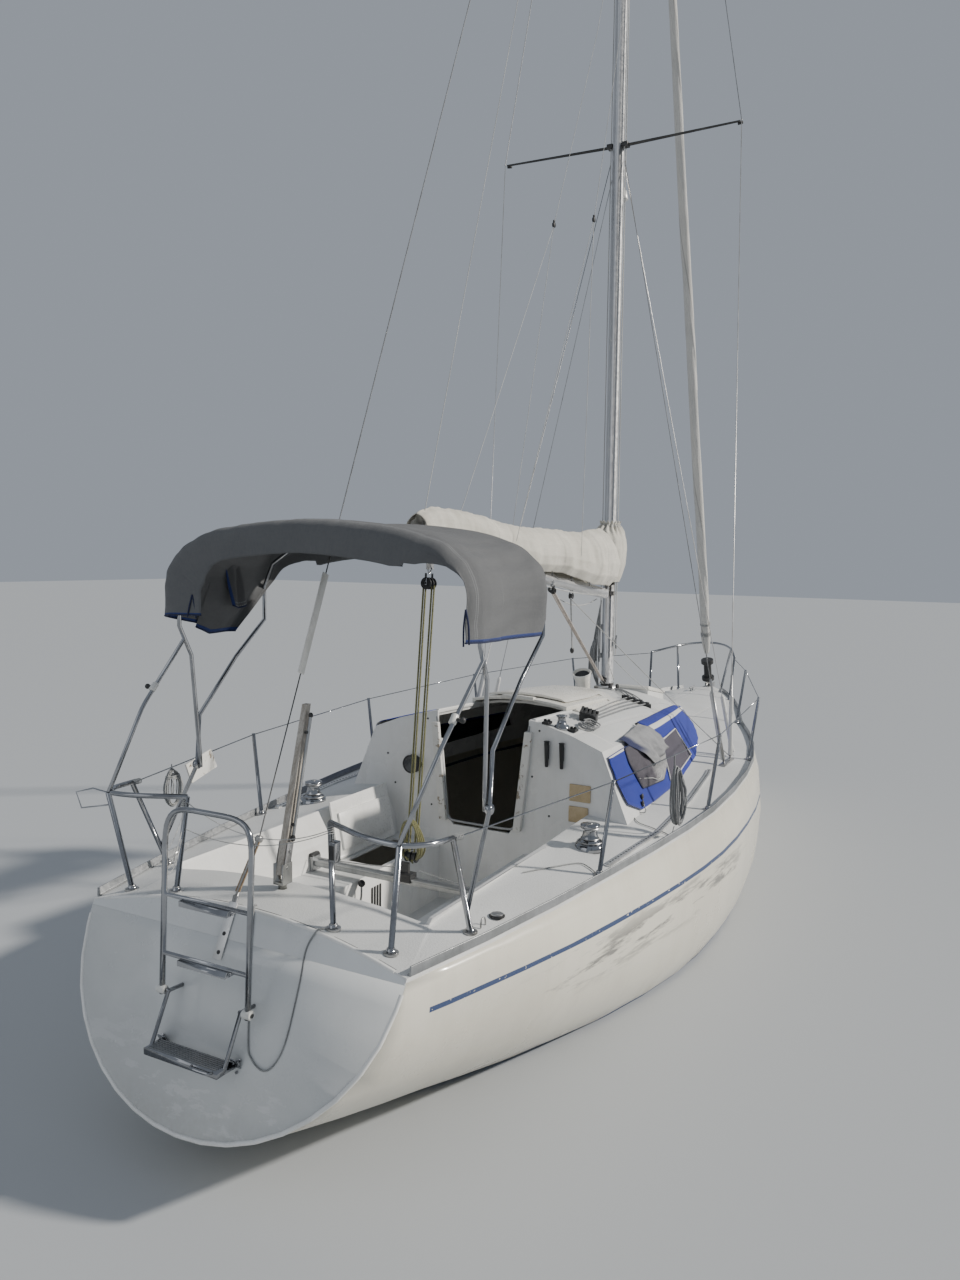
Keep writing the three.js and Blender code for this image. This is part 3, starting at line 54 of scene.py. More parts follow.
# Camera: held at about standing height on the pontoon, on the starboard quarter, looking along
# the boat towards the bow. Its place and turn were fitted to the yacht's own edges.
CAMERA_PLACE = Vector((-6.808, -2.758, 2.563))
CAMERA_YAW, CAMERA_PITCH, CAMERA_ROLL = 0.4852, -0.0892, 0.0163
CAMERA_LENS, SENSOR_WIDTH, VIEW_END = 27.03, 36, 200
level = math.cos(CAMERA_PITCH)
ahead = Vector((level * math.cos(CAMERA_YAW), level * math.sin(CAMERA_YAW), math.sin(CAMERA_PITCH)))
level_right = Vector((math.sin(CAMERA_YAW), -math.cos(CAMERA_YAW), 0))
level_up = level_right.cross(ahead)
right = math.cos(CAMERA_ROLL) * level_right + math.sin(CAMERA_ROLL) * level_up
up = -math.sin(CAMERA_ROLL) * level_right + math.cos(CAMERA_ROLL) * level_up
camera_data = bpy.data.cameras.new("camera")
camera_data.sensor_width = SENSOR_WIDTH
camera_data.lens = CAMERA_LENS
camera_data.clip_end = VIEW_END
camera = bpy.data.objects.new("camera", camera_data)
camera.matrix_world = Matrix.Translation(CAMERA_PLACE) @ Matrix((right, up, -ahead)).transposed().to_4x4()
scene.collection.objects.link(camera)
scene.camera = camera


# Stage: a plain pale floor at the waterline and soft studio light. The key light stands high on
# the starboard bow side, so the shadows fall the way they do on the real cockpit.
FLOOR_SIZE, FLOOR_GREY, FLOOR_ROUGHNESS = 60, (0.46, 0.48, 0.50, 1), 0.6
SKY_TINT, SKY_STRENGTH = (0.80, 0.88, 1.0, 1), 0.38
SUN_TINT, SUN_SPREAD, FILL_SIZE = (1.0, 0.95, 0.87), math.radians(3), 10
world = bpy.data.worlds.new("studio")
world.use_nodes = True
world.node_tree.nodes["Background"].inputs["Color"].default_value = SKY_TINT
world.node_tree.nodes["Background"].inputs["Strength"].default_value = SKY_STRENGTH
scene.world = world
floor_mesh = bpy.data.meshes.new("floor")
bm = bmesh.new()
bmesh.ops.create_grid(bm, x_segments=1, y_segments=1, size=FLOOR_SIZE)
bm.to_mesh(floor_mesh)
bm.free()
floor = bpy.data.objects.new("floor", floor_mesh)
scene.collection.objects.link(floor)
floor_paint = bpy.data.materials.new("floor_paint")
floor_paint.use_nodes = True
floor_shader = floor_paint.node_tree.nodes["Principled BSDF"].inputs
floor_shader["Base Color"].default_value = FLOOR_GREY
floor_shader["Roughness"].default_value = FLOOR_ROUGHNESS
floor_mesh.materials.append(floor_paint)
for lamp_name, place, aim, kind, power in (
    ("key", (6.0, -12.0, 9.5), (-0.5, 0, 1.5), "SUN", 4.3),
    ("fill", (-14.0, 5.0, 8.0), (-1, 0, 2), "AREA", 200),
):
    lamp_data = bpy.data.lights.new(lamp_name, kind)
    if kind == "SUN":
        lamp_data.angle = SUN_SPREAD
        lamp_data.color = SUN_TINT
    else:
        lamp_data.size = FILL_SIZE
    lamp_data.energy = power
    lamp = bpy.data.objects.new(lamp_name, lamp_data)
    lamp.location = place
    lamp.rotation_euler = (Vector(aim) - Vector(place)).to_track_quat("-Z", "Y").to_euler()
    scene.collection.objects.link(lamp)


# Transom cord: thin grey braided cord that hangs in a loop down the transom and up again, from
# one place on the deck edge to the other.
def smooth_run(points, step=0.01):
    """The points joined by one smooth line that is then cut into equal steps."""
    ends = [2 * Vector(points[0]) - Vector(points[1]), 2 * Vector(points[-1]) - Vector(points[-2])]
    knots = [ends[0], *map(Vector, points), ends[1]]
    fine = []
    for a, b, c, d in zip(knots, knots[1:], knots[2:], knots[3:]):
        for k in range(10):
            t = k / 10
            twice = 2 * b + (c - a) * t + (2 * a - 5 * b + 4 * c - d) * t * t + (3 * b - a - 3 * c + d) * t**3
            fine.append(0.5 * twice)
    fine.append(knots[-2])
    return even_run(fine, step)


def even_run(points, step):
    points = [Vector(p) for p in points]
    count = max(1, round(run_length(points) / step))
    pace, walked, wanted, out = run_length(points) / count, 0, 0, []
    for a, b in zip(points, points[1:]):
        stretch = (b - a).length
        while wanted <= walked + stretch + 1e-9 and stretch > 0 and len(out) < count:
            out.append(a.lerp(b, (wanted - walked) / stretch))
            wanted += pace
        walked += stretch
    return [*out, points[-1]]


def run_length(points):
    return sum((Vector(b) - Vector(a)).length for a, b in zip(points, points[1:]))


# The material slot of each finish. A piece with another slot says so.
SLOT_OF_FINISH = {
    "black_plastic": "black_fittings", "grey_tread": "black_fittings", "satin_alloy": "alloy",
    "polished_steel": "steel", "worn_steel": "steel", "white_plastic": "gelcoat_cream",
    "white_line": "rope_grey", "grey_rope": "rope_grey", "pale_rope": "rope_grey", "beige_rope": "rope_grey",
    "olive_rope": "rope_olive", "navy_binding": "blue_cloth", "canopy_cloth": "grey_cloth",
    "cover_canvas": "canvas", "flap_cloth": "net_grey", "bag_net": "net_grey", "window_net": "net_grey",
    "royal_blue_cloth": "blue_cloth",
}


def add_piece(name, bm, materials, body="hull", slot=None, sharp=38, outward=True):
    """Make the mesh a piece of the boat that rides on the body."""
    if outward:
        bmesh.ops.recalc_face_normals(bm, faces=bm.faces)
    mesh = bpy.data.meshes.new(name)
    bm.to_mesh(mesh)
    bm.free()
    for material in materials:
        mesh.materials.append(material)
    mesh.shade_smooth()
    mesh.set_sharp_from_angle(angle=math.radians(sharp))
    piece = bpy.data.objects.new(name, mesh)
    scene.collection.objects.link(piece)
    if body:
        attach(piece, body)
    slot = slot or SLOT_OF_FINISH.get(materials[0].name)
    return piece


def sweep(bm, run, radius, fine=2, material=0):
    """A round tube along the run. Its UV is round the tube, and in metres along it."""
    curve = bpy.data.curves.new("sweep", "CURVE")
    curve.dimensions = "3D"
    curve.bevel_depth = radius
    curve.bevel_resolution = fine
    curve.use_fill_caps = True
    spline = curve.splines.new("POLY")
    spline.points.add(len(run) - 1)
    for point, place in zip(spline.points, run):
        point.co = (*place, 1)
    holder = bpy.data.objects.new("sweep", curve)
    tube = bpy.data.meshes.new_from_object(holder)
    ring = len(tube.vertices) // len(run)
    walked = [0]
    for a, b in zip(run, run[1:]):
        walked.append(walked[-1] + (Vector(b) - Vector(a)).length)
    layer = tube.uv_layers.new(name="UVMap")
    for polygon in tube.polygons:
        polygon.material_index = material
        wraps = {0, ring - 1} <= {i % ring for i in polygon.vertices}
        for loop in polygon.loop_indices:
            index = tube.loops[loop].vertex_index
            turn = ring if wraps and index % ring == 0 else index % ring
            layer.data[loop].uv = (turn / ring, walked[min(index // ring, len(run) - 1)])
    bm.from_mesh(tube)
    bpy.data.objects.remove(holder)
    bpy.data.meshes.remove(tube)
    bpy.data.curves.remove(curve)


def strands(name, runs, radius, material, body="hull", slot=None, fine=2):
    bm = bmesh.new()
    for run in runs:
        sweep(bm, run, radius, fine)
    return add_piece(name, bm, [material], body, slot, sharp=60)


def put(tree, kind, inputs=None, **settings):
    """One shader node, with each input set to a value or joined to a socket."""
    made = tree.nodes.new("ShaderNode" + kind)
    for key, value in settings.items():
        setattr(made, key, value)
    for key, value in (inputs or {}).items():
        if isinstance(value, bpy.types.NodeSocket):
            tree.links.new(value, made.inputs[key])
        else:
            made.inputs[key].default_value = value
    return made


def maths(tree, operation, a, b=0.0):
    return put(tree, "Math", {0: a, 1: b}, operation=operation).outputs[0]


def times(tree, a, b):
    return maths(tree, "MULTIPLY", a, b)


def plus(tree, a, b):
    return maths(tree, "ADD", a, b)


def minus(tree, a, b):
    return maths(tree, "SUBTRACT", a, b)


def larger(tree, a, b):
    return maths(tree, "MAXIMUM", a, b)


def coordinates(tree, kind):
    """The three parts of a texture coordinate: Object, Normal or UV."""
    return put(tree, "SeparateXYZ", {0: put(tree, "TexCoord").outputs[kind]}).outputs


def blend_colour(tree, share, a, b):
    made = put(tree, "Mix", {0: share}, data_type="RGBA")
    for index, value in ((6, a), (7, b)):
        if isinstance(value, bpy.types.NodeSocket):
            tree.links.new(value, made.inputs[index])
        else:
            made.inputs[index].default_value = (*value, 1)
    return made.outputs[2]


def tint(tree, under, mask, share, over):
    """The colour under, with a share of the colour over it where the mask is 1."""
    return blend_colour(tree, times(tree, mask, share), under, over)


def span(tree, value, low, high, to_low=0.0, to_high=1.0):
    """The value's way from low to high, clamped."""
    inputs = {"Value": value, "From Min": low, "From Max": high, "To Min": to_low, "To Max": to_high}
    return put(tree, "MapRange", inputs).outputs[0]


def new_group(name, inputs, outputs):
    group = bpy.data.node_groups.new(name, "ShaderNodeTree")
    for label, value in inputs.items():
        socket = group.interface.new_socket(label, in_out="INPUT", socket_type="NodeSocketFloat")
        socket.default_value = value
    for label in outputs:
        group.interface.new_socket(label, in_out="OUTPUT", socket_type="NodeSocketFloat")
    return group, group.nodes.new("NodeGroupInput").outputs, group.nodes.new("NodeGroupOutput").inputs


def use_group(tree, group, **values):
    made = tree.nodes.new("ShaderNodeGroup")
    made.node_tree = group
    for label, value in values.items():
        made.inputs[label].default_value = value
    return made.outputs


def braid_group():
    """Two sets of yarn that cross on a rope. It reads the rope's UV: round it, and metres along."""
    group, given, gives = new_group("braid", {"Pitch": 0.02, "Yarns": 6.0}, ("Height", "Fleck"))
    uv = coordinates(group, "UV")
    turn = times(group, uv[0], times(group, given["Yarns"], 2 * math.pi))
    way = times(group, maths(group, "DIVIDE", uv[1], given["Pitch"]), 2 * math.pi)
    one = maths(group, "SINE", plus(group, turn, way))
    other = maths(group, "SINE", minus(group, turn, way))
    group.links.new(span(group, times(group, one, other), -1, 1), gives["Height"])
    speck = put(group, "TexNoise", {"Vector": put(group, "TexCoord").outputs["Object"], "Scale": 260.0})
    group.links.new(span(group, speck.outputs[0], 0.4, 0.7), gives["Fleck"])
    return group


braid = braid_group()


def new_finish(name, roughness=0.5, **constants):
    """A material with its tree and shader. The constants go straight onto the shader's sockets."""
    material = bpy.data.materials.new(name)
    material.use_nodes = True
    shader = material.node_tree.nodes["Principled BSDF"]
    shader.inputs["Roughness"].default_value = roughness
    for label, value in constants.items():
        shader.inputs[label.replace("_", " ")].default_value = value
    return material, material.node_tree, shader.inputs


def bump(tree, sockets, height, depth, strength=1.0):
    made = put(tree, "Bump", {"Height": height, "Distance": depth, "Strength": strength})
    tree.links.new(made.outputs[0], sockets["Normal"])


def lead(tree, sockets, colour, roughness, height=None, depth=0.0, strength=1.0):
    """Lead a finish's colour, roughness and relief to its shader."""
    tree.links.new(colour, sockets["Base Color"])
    tree.links.new(roughness, sockets["Roughness"])
    if height is not None:
        bump(tree, sockets, height, depth, strength)


def rope_finish(name, main, fleck, pitch, yarns=6.0, depth=0.0012):
    material, tree, sockets = new_finish(name, 0.8, Sheen_Weight=0.25)
    out = use_group(tree, braid, Pitch=pitch, Yarns=yarns)
    dark = blend_colour(tree, out["Height"], [c * 0.55 for c in main], main)
    tree.links.new(blend_colour(tree, out["Fleck"], dark, fleck), sockets["Base Color"])
    bump(tree, sockets, out["Height"], depth)
    return material


grey_rope = rope_finish("grey_rope", (0.36, 0.37, 0.37), (0.52, 0.53, 0.52), 0.014)
# The cord's y and height down the transom
CORD_SIDE_HEIGHT = [
    (-0.060, 1.0364), (-0.113, 0.876), (-0.218, 0.597), (-0.260, 0.538), (-0.331, 0.513), (-0.377, 0.550),
    (-0.397, 0.635), (-0.388, 0.821), (-0.375, 0.942), (-0.403, 1.0139),
]
TRANSOM_X, TRANSOM_Z, TRANSOM_SLOPE, TRANSOM_LEAN = -3.780, 0.910, 0.5, 0.4636
CORD_RADIUS, CORD_OFF = 0.0035, 0.0045
cord_route = [(-3.682, -0.040, 1.0367)]
cord_route += [(TRANSOM_X - TRANSOM_SLOPE * (TRANSOM_Z - z) - CORD_OFF, y, z) for y, z in CORD_SIDE_HEIGHT]
cord_route += [(-3.700, -0.414, 1.0135)]
cord_run = smooth_run(cord_route, 0.008)
cord = strands("transom_line", [cord_run], CORD_RADIUS, grey_rope)
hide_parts("transom_cord")
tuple(cord_route[0])
round(run_length(cord_run), 2)
[tuple(p) for p in cord_run]


# Three coiled ropes: the olive tail of the mainsheet on its traveller, a grey-white hank tied to
# the starboard guard wire and a thin coil on the port one. Each is one rope with its whole length
# in its turns, wound a few times round its neck.
RELAX_ROUNDS = 160


def relax(run, least, step):
    """Round off each place where the rope would bend tighter than the least radius."""
    run = even_run(run, step)
    for _ in range(RELAX_ROUNDS):
        tight = set()
        for i in range(1, len(run) - 1):
            turn = (run[i] - run[i - 1]).angle(run[i + 1] - run[i], 0)
            if turn * least > step:
                tight.update(range(max(1, i - 2), min(len(run) - 1, i + 3)))
        if not tight:
            break
        for _ in range(3):
            run = [(run[i - 1] + 2 * p + run[i + 1]) / 4 if i in tight else p for i, p in enumerate(run)]
        run = even_run(run, step)
    return run


TURN_STEPS, NECK_STEPS = 22, 14


def coil_run(start, levels, turns, width, depth, rope, wraps, facing, least=3.0):
    """One rope: out of its start, round the coil and then round the coil's neck.

    Levels are the coil's middle x and y, height and half width, from its bottom to its neck.
    Facing is the level direction in which the coil is wide. Least is the tightest bend in diameters.
    """
    wide = Vector(facing).normalized()
    deep = wide.cross(Vector((0, 0, 1)))
    heights = [level[2] for level in levels]

    def middle(z):
        z = min(max(z, heights[0]), heights[-1])
        k = next(i for i in range(len(levels) - 1) if z <= heights[i + 1] + 1e-9)
        t = (z - heights[k]) / (heights[k + 1] - heights[k])
        low, high = levels[k], levels[k + 1]
        return [low[i] + (high[i] - low[i]) * t for i in (0, 1, 3)]

    bottom, top = heights[0], heights[-1]
    run = []
    for k in range(turns * TURN_STEPS + 1):
        turn, angle = divmod(k, TURN_STEPS)
        angle *= 2 * math.pi / TURN_STEPS
        layer = (k / TURN_STEPS) % 1
        nest = 0.70 + 0.30 * (((turn + layer) * 0.618) % 1)
        lift = 0.5 - 0.5 * math.cos(angle)
        low = bottom + rope * 0.5 + (1 - nest) * 0.22 * (top - bottom)
        z = low + lift * (top - rope - low)
        x, y, half = middle(z)
        shift = ((turn + layer) / turns - 0.5) * 2 * max(depth * half / width, rope * 1.5)
        rounded = math.copysign(abs(math.sin(angle)) ** 0.55, math.sin(angle))
        across = max(half - rope * 0.5, rope * 1.2) * nest * rounded
        run.append(Vector((x, y, z)) + wide * across + deep * shift)
    neck = bottom + (top - bottom) * 0.80
    x, y, half = middle(neck)
    for k in range(wraps * NECK_STEPS + 1):
        angle = math.pi + k * 2 * math.pi / NECK_STEPS
        z = neck - rope * 1.15 * k / NECK_STEPS
        bulk = depth * half / width + rope * 1.9
        place = wide * math.cos(angle) * (half + rope * 0.9) + deep * math.sin(angle) * bulk
        run.append(Vector((x, y, z)) + place)
    x, y, half = middle(bottom + 0.35 * (top - bottom))
    run.append(Vector((x, y, neck - rope * (1.15 * wraps + 3))) + deep * (depth + rope * 1.5)
               - wide * 0.4 * half)
    run.append(Vector((x, y, bottom + 0.35 * (top - bottom))) + deep * (depth + rope * 1.2)
               - wide * 0.5 * half)
    return relax(smooth_run([Vector(start), *run], rope * 0.8), rope * least, rope * 0.8)


def declare_coil(run, start, thick):
    """Work out the coiled rope's start, length and points, and keep none of them."""
    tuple(start)
    round(run_length(run), 2)
    [tuple(p) for p in run]


olive_rope = rope_finish("olive_rope", (0.20, 0.20, 0.065), (0.42, 0.40, 0.20), 0.022, 5.0)
pale_rope = rope_finish("pale_rope", (0.42, 0.43, 0.43), (0.16, 0.17, 0.19), 0.022, 5.0)
# Each coil: piece, CAD node, finish, slot, diameter, turns, wraps of the neck, start, facing, depth and
# levels of side x, y, height and half width
COILS = (
    ("mainsheet_tail", "mainsheet_coil", olive_rope, "rope_olive", 0.010, 9, 3, (-2.42, -0.05, 0.868),
     (0, 1, 0), 0.032, [(-2.42, -0.044, 0.872, 0.044), (-2.42, -0.046, 0.905, 0.080),
                        (-2.421, -0.045, 0.960, 0.086),
      (-2.422, -0.040, 1.040, 0.064), (-2.424, -0.026, 1.120, 0.038), (-2.425, -0.018, 1.160, 0.028)]),
    ("rail_hank", "lifeline_hank", pale_rope, "rope_olive", 0.010, 9, 4, (-1.552, -1.243, 1.452), (1, 0, 0),
     0.034, [(-1.520, -1.262, 1.020, 0.045), (-1.500, -1.262, 1.090, 0.098), (-1.495, -1.260, 1.180, 0.106),
      (-1.520, -1.256, 1.300, 0.072), (-1.545, -1.250, 1.400, 0.042), (-1.550, -1.249, 1.440, 0.034)]),
    ("rail_coil", "pushpit_coil", grey_rope, "rope_grey", 0.006, 8, 3, (-3.171, 0.975, 1.440), (1, 0, 0),
     0.020, [(-3.176, 0.962, 1.205, 0.030), (-3.175, 0.962, 1.255, 0.060), (-3.174, 0.963, 1.330, 0.066),
      (-3.172, 0.968, 1.400, 0.038), (-3.171, 0.971, 1.432, 0.018)]),
)
for name, solid, finish, slot, thick, turns, wraps, start, facing, depth, levels in COILS:
    width = max(level[3] for level in levels)
    least = 2.3 if thick < 0.008 else 3.0
    run = coil_run(start, levels, turns, width, depth, thick, wraps, facing, least)
    coil = strands(name, [run], thick / 2, finish, slot=slot)
    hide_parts(solid)
    declare_coil(run, start, thick)


# Hull: laid-up glass fibre with cream gelcoat, a blue stripe above the waterline and blue
# antifouling paint below it. Keel and rudder have the same paint.
def weathering_group():
    """Large stains, fine grain and sparse dark specks, all from the object's own coordinates."""
    group, given, gives = new_group("weathering", {"Scale": 1.0}, ("Stain", "Grain", "Speck"))
    here = put(group, "TexCoord").outputs["Object"]
    for label, finer, detail, low, high in (("Stain", 1.0, 7.0, 0.42, 0.72), ("Grain", 28.0, 3.0, 0.3, 0.7),
                                            ("Speck", 60.0, 2.0, 0.70, 0.78)):
        scale = times(group, given["Scale"], finer)
        cloud = put(group, "TexNoise", {"Vector": here, "Scale": scale, "Detail": detail, "Roughness": 0.62})
        group.links.new(span(group, cloud.outputs[0], low, high), gives[label])
    return group


weathering = weathering_group()


def runs_group():
    """Streaks that run down a wall, as rain and salt leave them."""
    group, given, gives = new_group("runs", {"Scale": 9.0, "Stretch": 0.08}, ("Mask",))
    here = coordinates(group, "Object")
    tall = times(group, here[2], given["Stretch"])
    place = put(group, "CombineXYZ", {0: here[0], 1: here[1], 2: tall}).outputs[0]
    cloud = put(group, "TexNoise", {"Vector": place, "Scale": given["Scale"], "Detail": 5.0,
                                    "Roughness": 0.6})
    group.links.new(span(group, cloud.outputs[0], 0.45, 0.75), gives["Mask"])
    return group


runs = runs_group()


def band(tree, value, middle, half, soft=0.002):
    """1 where the value is within half of the middle."""
    off = maths(tree, "ABSOLUTE", minus(tree, value, middle))
    return span(tree, off, half + soft, half, 0.0, 1.0)


body_of_node = {node: body for body, found in frame["record"]["behaviour"]["bodies"].items()
                for node in found}
slot_of_node = {part["node"]: part["material_slot"] for part in frame["record"]["subparts"]}


def dress_node(node, material, round_off=0.0, sharp=40):
    """A merged copy of a CAD node, shaded smooth and with its edges rounded off, stands for it."""
    bm = bmesh.new()
    bm.from_mesh(nodes[node].data)
    bmesh.ops.remove_doubles(bm, verts=bm.verts, dist=1e-5)
    piece = add_piece(node + "_made", bm, [material], body_of_node[node], slot_of_node[node], sharp,
                      outward=False)
    if piece.data.has_custom_normals:
        piece.data.attributes.remove(piece.data.attributes["custom_normal"])
    if round_off:
        rounding = piece.modifiers.new("rounding", "BEVEL")
        rounding.width = round_off
        rounding.segments = 2
        rounding.limit_method = "ANGLE"
        rounding.angle_limit = math.radians(sharp)
        rounding.harden_normals = False
    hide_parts(node)
    return piece


def antifoul_colour(tree, wear):
    worn = blend_colour(tree, wear["Stain"], (0.035, 0.065, 0.15), (0.09, 0.13, 0.20))
    return blend_colour(tree, wear["Grain"], worn, (0.05, 0.08, 0.16))


def scuff_cloud(tree, scale):
    """Ragged patches that are longer than they are high."""
    stretched = put(tree, "Mapping", {"Vector": put(tree, "TexCoord").outputs["Object"],
                                      "Scale": (0.35, 1.0, 3.5)})
    cloud = {"Vector": stretched.outputs[0], "Scale": scale, "Detail": 8.0, "Roughness": 0.7}
    return put(tree, "TexNoise", cloud).outputs[0]


# The blue stripe: x and height of its lowest place, the reach and rise of its curve, half its width and
# x of its aft end. Then the upper edge of the antifouling paint.
STRIPE_X, STRIPE_Z, STRIPE_REACH, STRIPE_RISE = -1.2, 0.712, 2.6, 0.055
STRIPE_HALF, STRIPE_END = 0.011, -3.655
PAINT_EDGE = 0.036


def hull_finish():
    material, tree, sockets = new_finish("hull_gelcoat", 0.28, Coat_Weight=0.35, Coat_Roughness=0.12)
    wear = use_group(tree, weathering, Scale=1.3)
    streaks = use_group(tree, runs, Scale=7.0, Stretch=0.10)["Mask"]
    x, _, z = coordinates(tree, "Object")[0:3]
    below_deck = times(tree, minus(tree, TRANSOM_Z, z), TRANSOM_SLOPE)
    side = span(tree, plus(tree, plus(tree, x, -TRANSOM_X), below_deck), 0.002, 0.003)
    cream = blend_colour(tree, wear["Stain"], (0.80, 0.765, 0.655), (0.70, 0.665, 0.565))
    cream = tint(tree, cream, streaks, 0.35, (0.60, 0.56, 0.46))
    cream = tint(tree, cream, wear["Speck"], 0.5, (0.40, 0.37, 0.30))
    # The transom's white is the hull's gelcoat, made cooler and darker than the cream sides: painted shade,
    # as the transom faces away from the sun.
    transom = blend_colour(tree, wear["Stain"], (0.74, 0.76, 0.76), (0.64, 0.66, 0.66))
    peeled = times(tree, span(tree, z, 0.62, 0.36), span(tree, scuff_cloud(tree, 2.1), 0.53, 0.56))
    transom = tint(tree, transom, peeled, 0.7, (0.86, 0.87, 0.88))
    low = times(tree, span(tree, z, 0.42, 0.12), wear["Grain"])
    transom = tint(tree, transom, low, 0.45, (0.50, 0.49, 0.44))
    body = blend_colour(tree, side, transom, cream)
    far = maths(tree, "DIVIDE", plus(tree, x, -STRIPE_X), STRIPE_REACH)
    line = plus(tree, times(tree, times(tree, far, far), STRIPE_RISE), STRIPE_Z)
    chips = times(tree, span(tree, wear["Grain"], 0.02, 0.12), span(tree, x, STRIPE_END, STRIPE_END + 0.005))
    stripe = times(tree, times(tree, band(tree, z, line, STRIPE_HALF), side), chips)
    body = blend_colour(tree, stripe, body, (0.022, 0.050, 0.150))
    scuff_spot = times(tree, band(tree, x, -1.7, 0.9, 0.7), band(tree, z, 0.58, 0.04, 0.12))
    scuff = times(tree, scuff_spot, span(tree, scuff_cloud(tree, 3.2), 0.50, 0.58))
    body = tint(tree, body, times(tree, scuff, side), 0.8, (0.12, 0.12, 0.12))
    slime = times(tree, span(tree, z, 0.14, 0.04), span(tree, streaks, 0.0, 0.6))
    body = tint(tree, body, slime, 0.5, (0.42, 0.38, 0.22))
    edge = plus(tree, z, times(tree, wear["Grain"], 0.006))
    below = span(tree, edge, PAINT_EDGE, PAINT_EDGE - 0.006)
    tree.links.new(blend_colour(tree, below, body, antifoul_colour(tree, wear)), sockets["Base Color"])
    gloss = plus(tree, span(tree, wear["Stain"], 0, 1, 0.2, 0.36), times(tree, below, 0.4))
    tree.links.new(gloss, sockets["Roughness"])
    tree.links.new(minus(tree, 0.35, times(tree, below, 0.35)), sockets["Coat Weight"])
    bump(tree, sockets, wear["Stain"], 0.0015, 0.5)
    return material


def antifoul_finish(name="antifoul_paint", bare_above=None):
    """Antifouling paint. Above the height, if there is one, the metal is bare."""
    material, tree, sockets = new_finish(name, 0.75)
    wear = use_group(tree, weathering, Scale=2.2)
    colour = antifoul_colour(tree, wear)
    if bare_above:
        bare = span(tree, coordinates(tree, "Object")[2], bare_above, bare_above + 0.002)
        colour = blend_colour(tree, bare, colour, (0.46, 0.46, 0.44))
        tree.links.new(bare, sockets["Metallic"])
        tree.links.new(span(tree, bare, 0, 1, 0.75, 0.4), sockets["Roughness"])
    tree.links.new(colour, sockets["Base Color"])
    bump(tree, sockets, wear["Grain"], 0.0006)
    return material


hull_gelcoat = hull_finish()
dress_node("hull_shell", hull_gelcoat, sharp=50)
dress_node("keel", antifoul_finish())
dress_node("rudder", antifoul_finish("rudder_paint", bare_above=0.30))


# Bronze propeller and shaft, dulled by the sea, and the engine block in its red enamel.
def metal_finish(name, main, dull, roughness=(0.15, 0.4), scale=2.0, streak=0.0, depth=0.0):
    material, tree, sockets = new_finish(name, 0.3, Metallic=1.0)
    wear = use_group(tree, weathering, Scale=scale)
    colour = blend_colour(tree, wear["Stain"], main, dull)
    if streak:
        down = use_group(tree, runs, Scale=14.0, Stretch=0.15)["Mask"]
        colour = tint(tree, colour, down, streak, [c * 0.45 for c in dull])
    lead(tree, sockets, colour, span(tree, wear["Grain"], 0, 1, *roughness), wear["Grain"] if depth else None,
         depth)
    return material


bronze = metal_finish("dull_bronze", (0.52, 0.40, 0.18), (0.24, 0.24, 0.16), (0.3, 0.6), 6.0, depth=0.0004)
for node in ("propeller", "propeller_shaft"):
    dress_node(node, bronze)
enamel, tree, sockets = new_finish("engine_enamel", 0.45)
wear = use_group(tree, weathering, Scale=5.0)
lead(tree, sockets, blend_colour(tree, wear["Stain"], (0.42, 0.06, 0.05), (0.14, 0.05, 0.04)),
     span(tree, wear["Grain"], 0, 1, 0.35, 0.7), wear["Grain"], 0.0008)
dress_node("engine_block", enamel, 0.02)


# Deck moulding: white gelcoat, glossy on its upright sides, with a fine moulded grip on what is
# trodden on. Smooth gutters part the grip into panels.
# Places of the smooth gutters in the grip: x of those across the roof, and the distance of the others from
# the middle of the boat
GUTTERS_ACROSS = (-1.28, -0.62, 0.32, 1.02, 1.36, 1.78)
GUTTERS_ALONG = (0.045, 0.44, 0.60)


def deck_finish():
    material, tree, sockets = new_finish("deck_gelcoat", 0.35)
    wear = use_group(tree, weathering, Scale=1.6)
    streaks = use_group(tree, runs, Scale=12.0, Stretch=0.12)["Mask"]
    x, y, z = coordinates(tree, "Object")[0:3]
    off = maths(tree, "ABSOLUTE", y)
    flat = span(tree, coordinates(tree, "Normal")[2], 0.86, 0.93)
    roof = span(tree, z, 1.10, 1.12)
    gutter = 0.0
    for where in GUTTERS_ACROSS:
        gutter = larger(tree, gutter, band(tree, x, where, 0.014))
    for where in GUTTERS_ALONG:
        gutter = larger(tree, gutter, band(tree, off, where, 0.012))
    grip = times(tree, flat, minus(tree, 1.0, times(tree, gutter, roof)))
    cells = put(tree, "TexVoronoi", {"Vector": put(tree, "TexCoord").outputs["Object"], "Scale": 130.0})
    white = blend_colour(tree, wear["Stain"], (0.80, 0.80, 0.785), (0.70, 0.70, 0.68))
    white = tint(tree, white, streaks, 0.18, (0.48, 0.46, 0.40))
    trodden = blend_colour(tree, wear["Stain"], (0.70, 0.71, 0.71), (0.60, 0.61, 0.60))
    trodden = tint(tree, trodden, cells.outputs["Distance"], 0.35, (0.46, 0.47, 0.46))
    colour = blend_colour(tree, grip, white, trodden)
    colour = tint(tree, colour, wear["Speck"], 0.35, (0.25, 0.23, 0.19))
    gloss = plus(tree, span(tree, wear["Stain"], 0, 1, 0.22, 0.4), times(tree, grip, 0.3))
    relief = plus(tree, times(tree, cells.outputs["Distance"], grip), grip)
    lead(tree, sockets, colour, gloss, relief, 0.0012, 0.7)
    return material


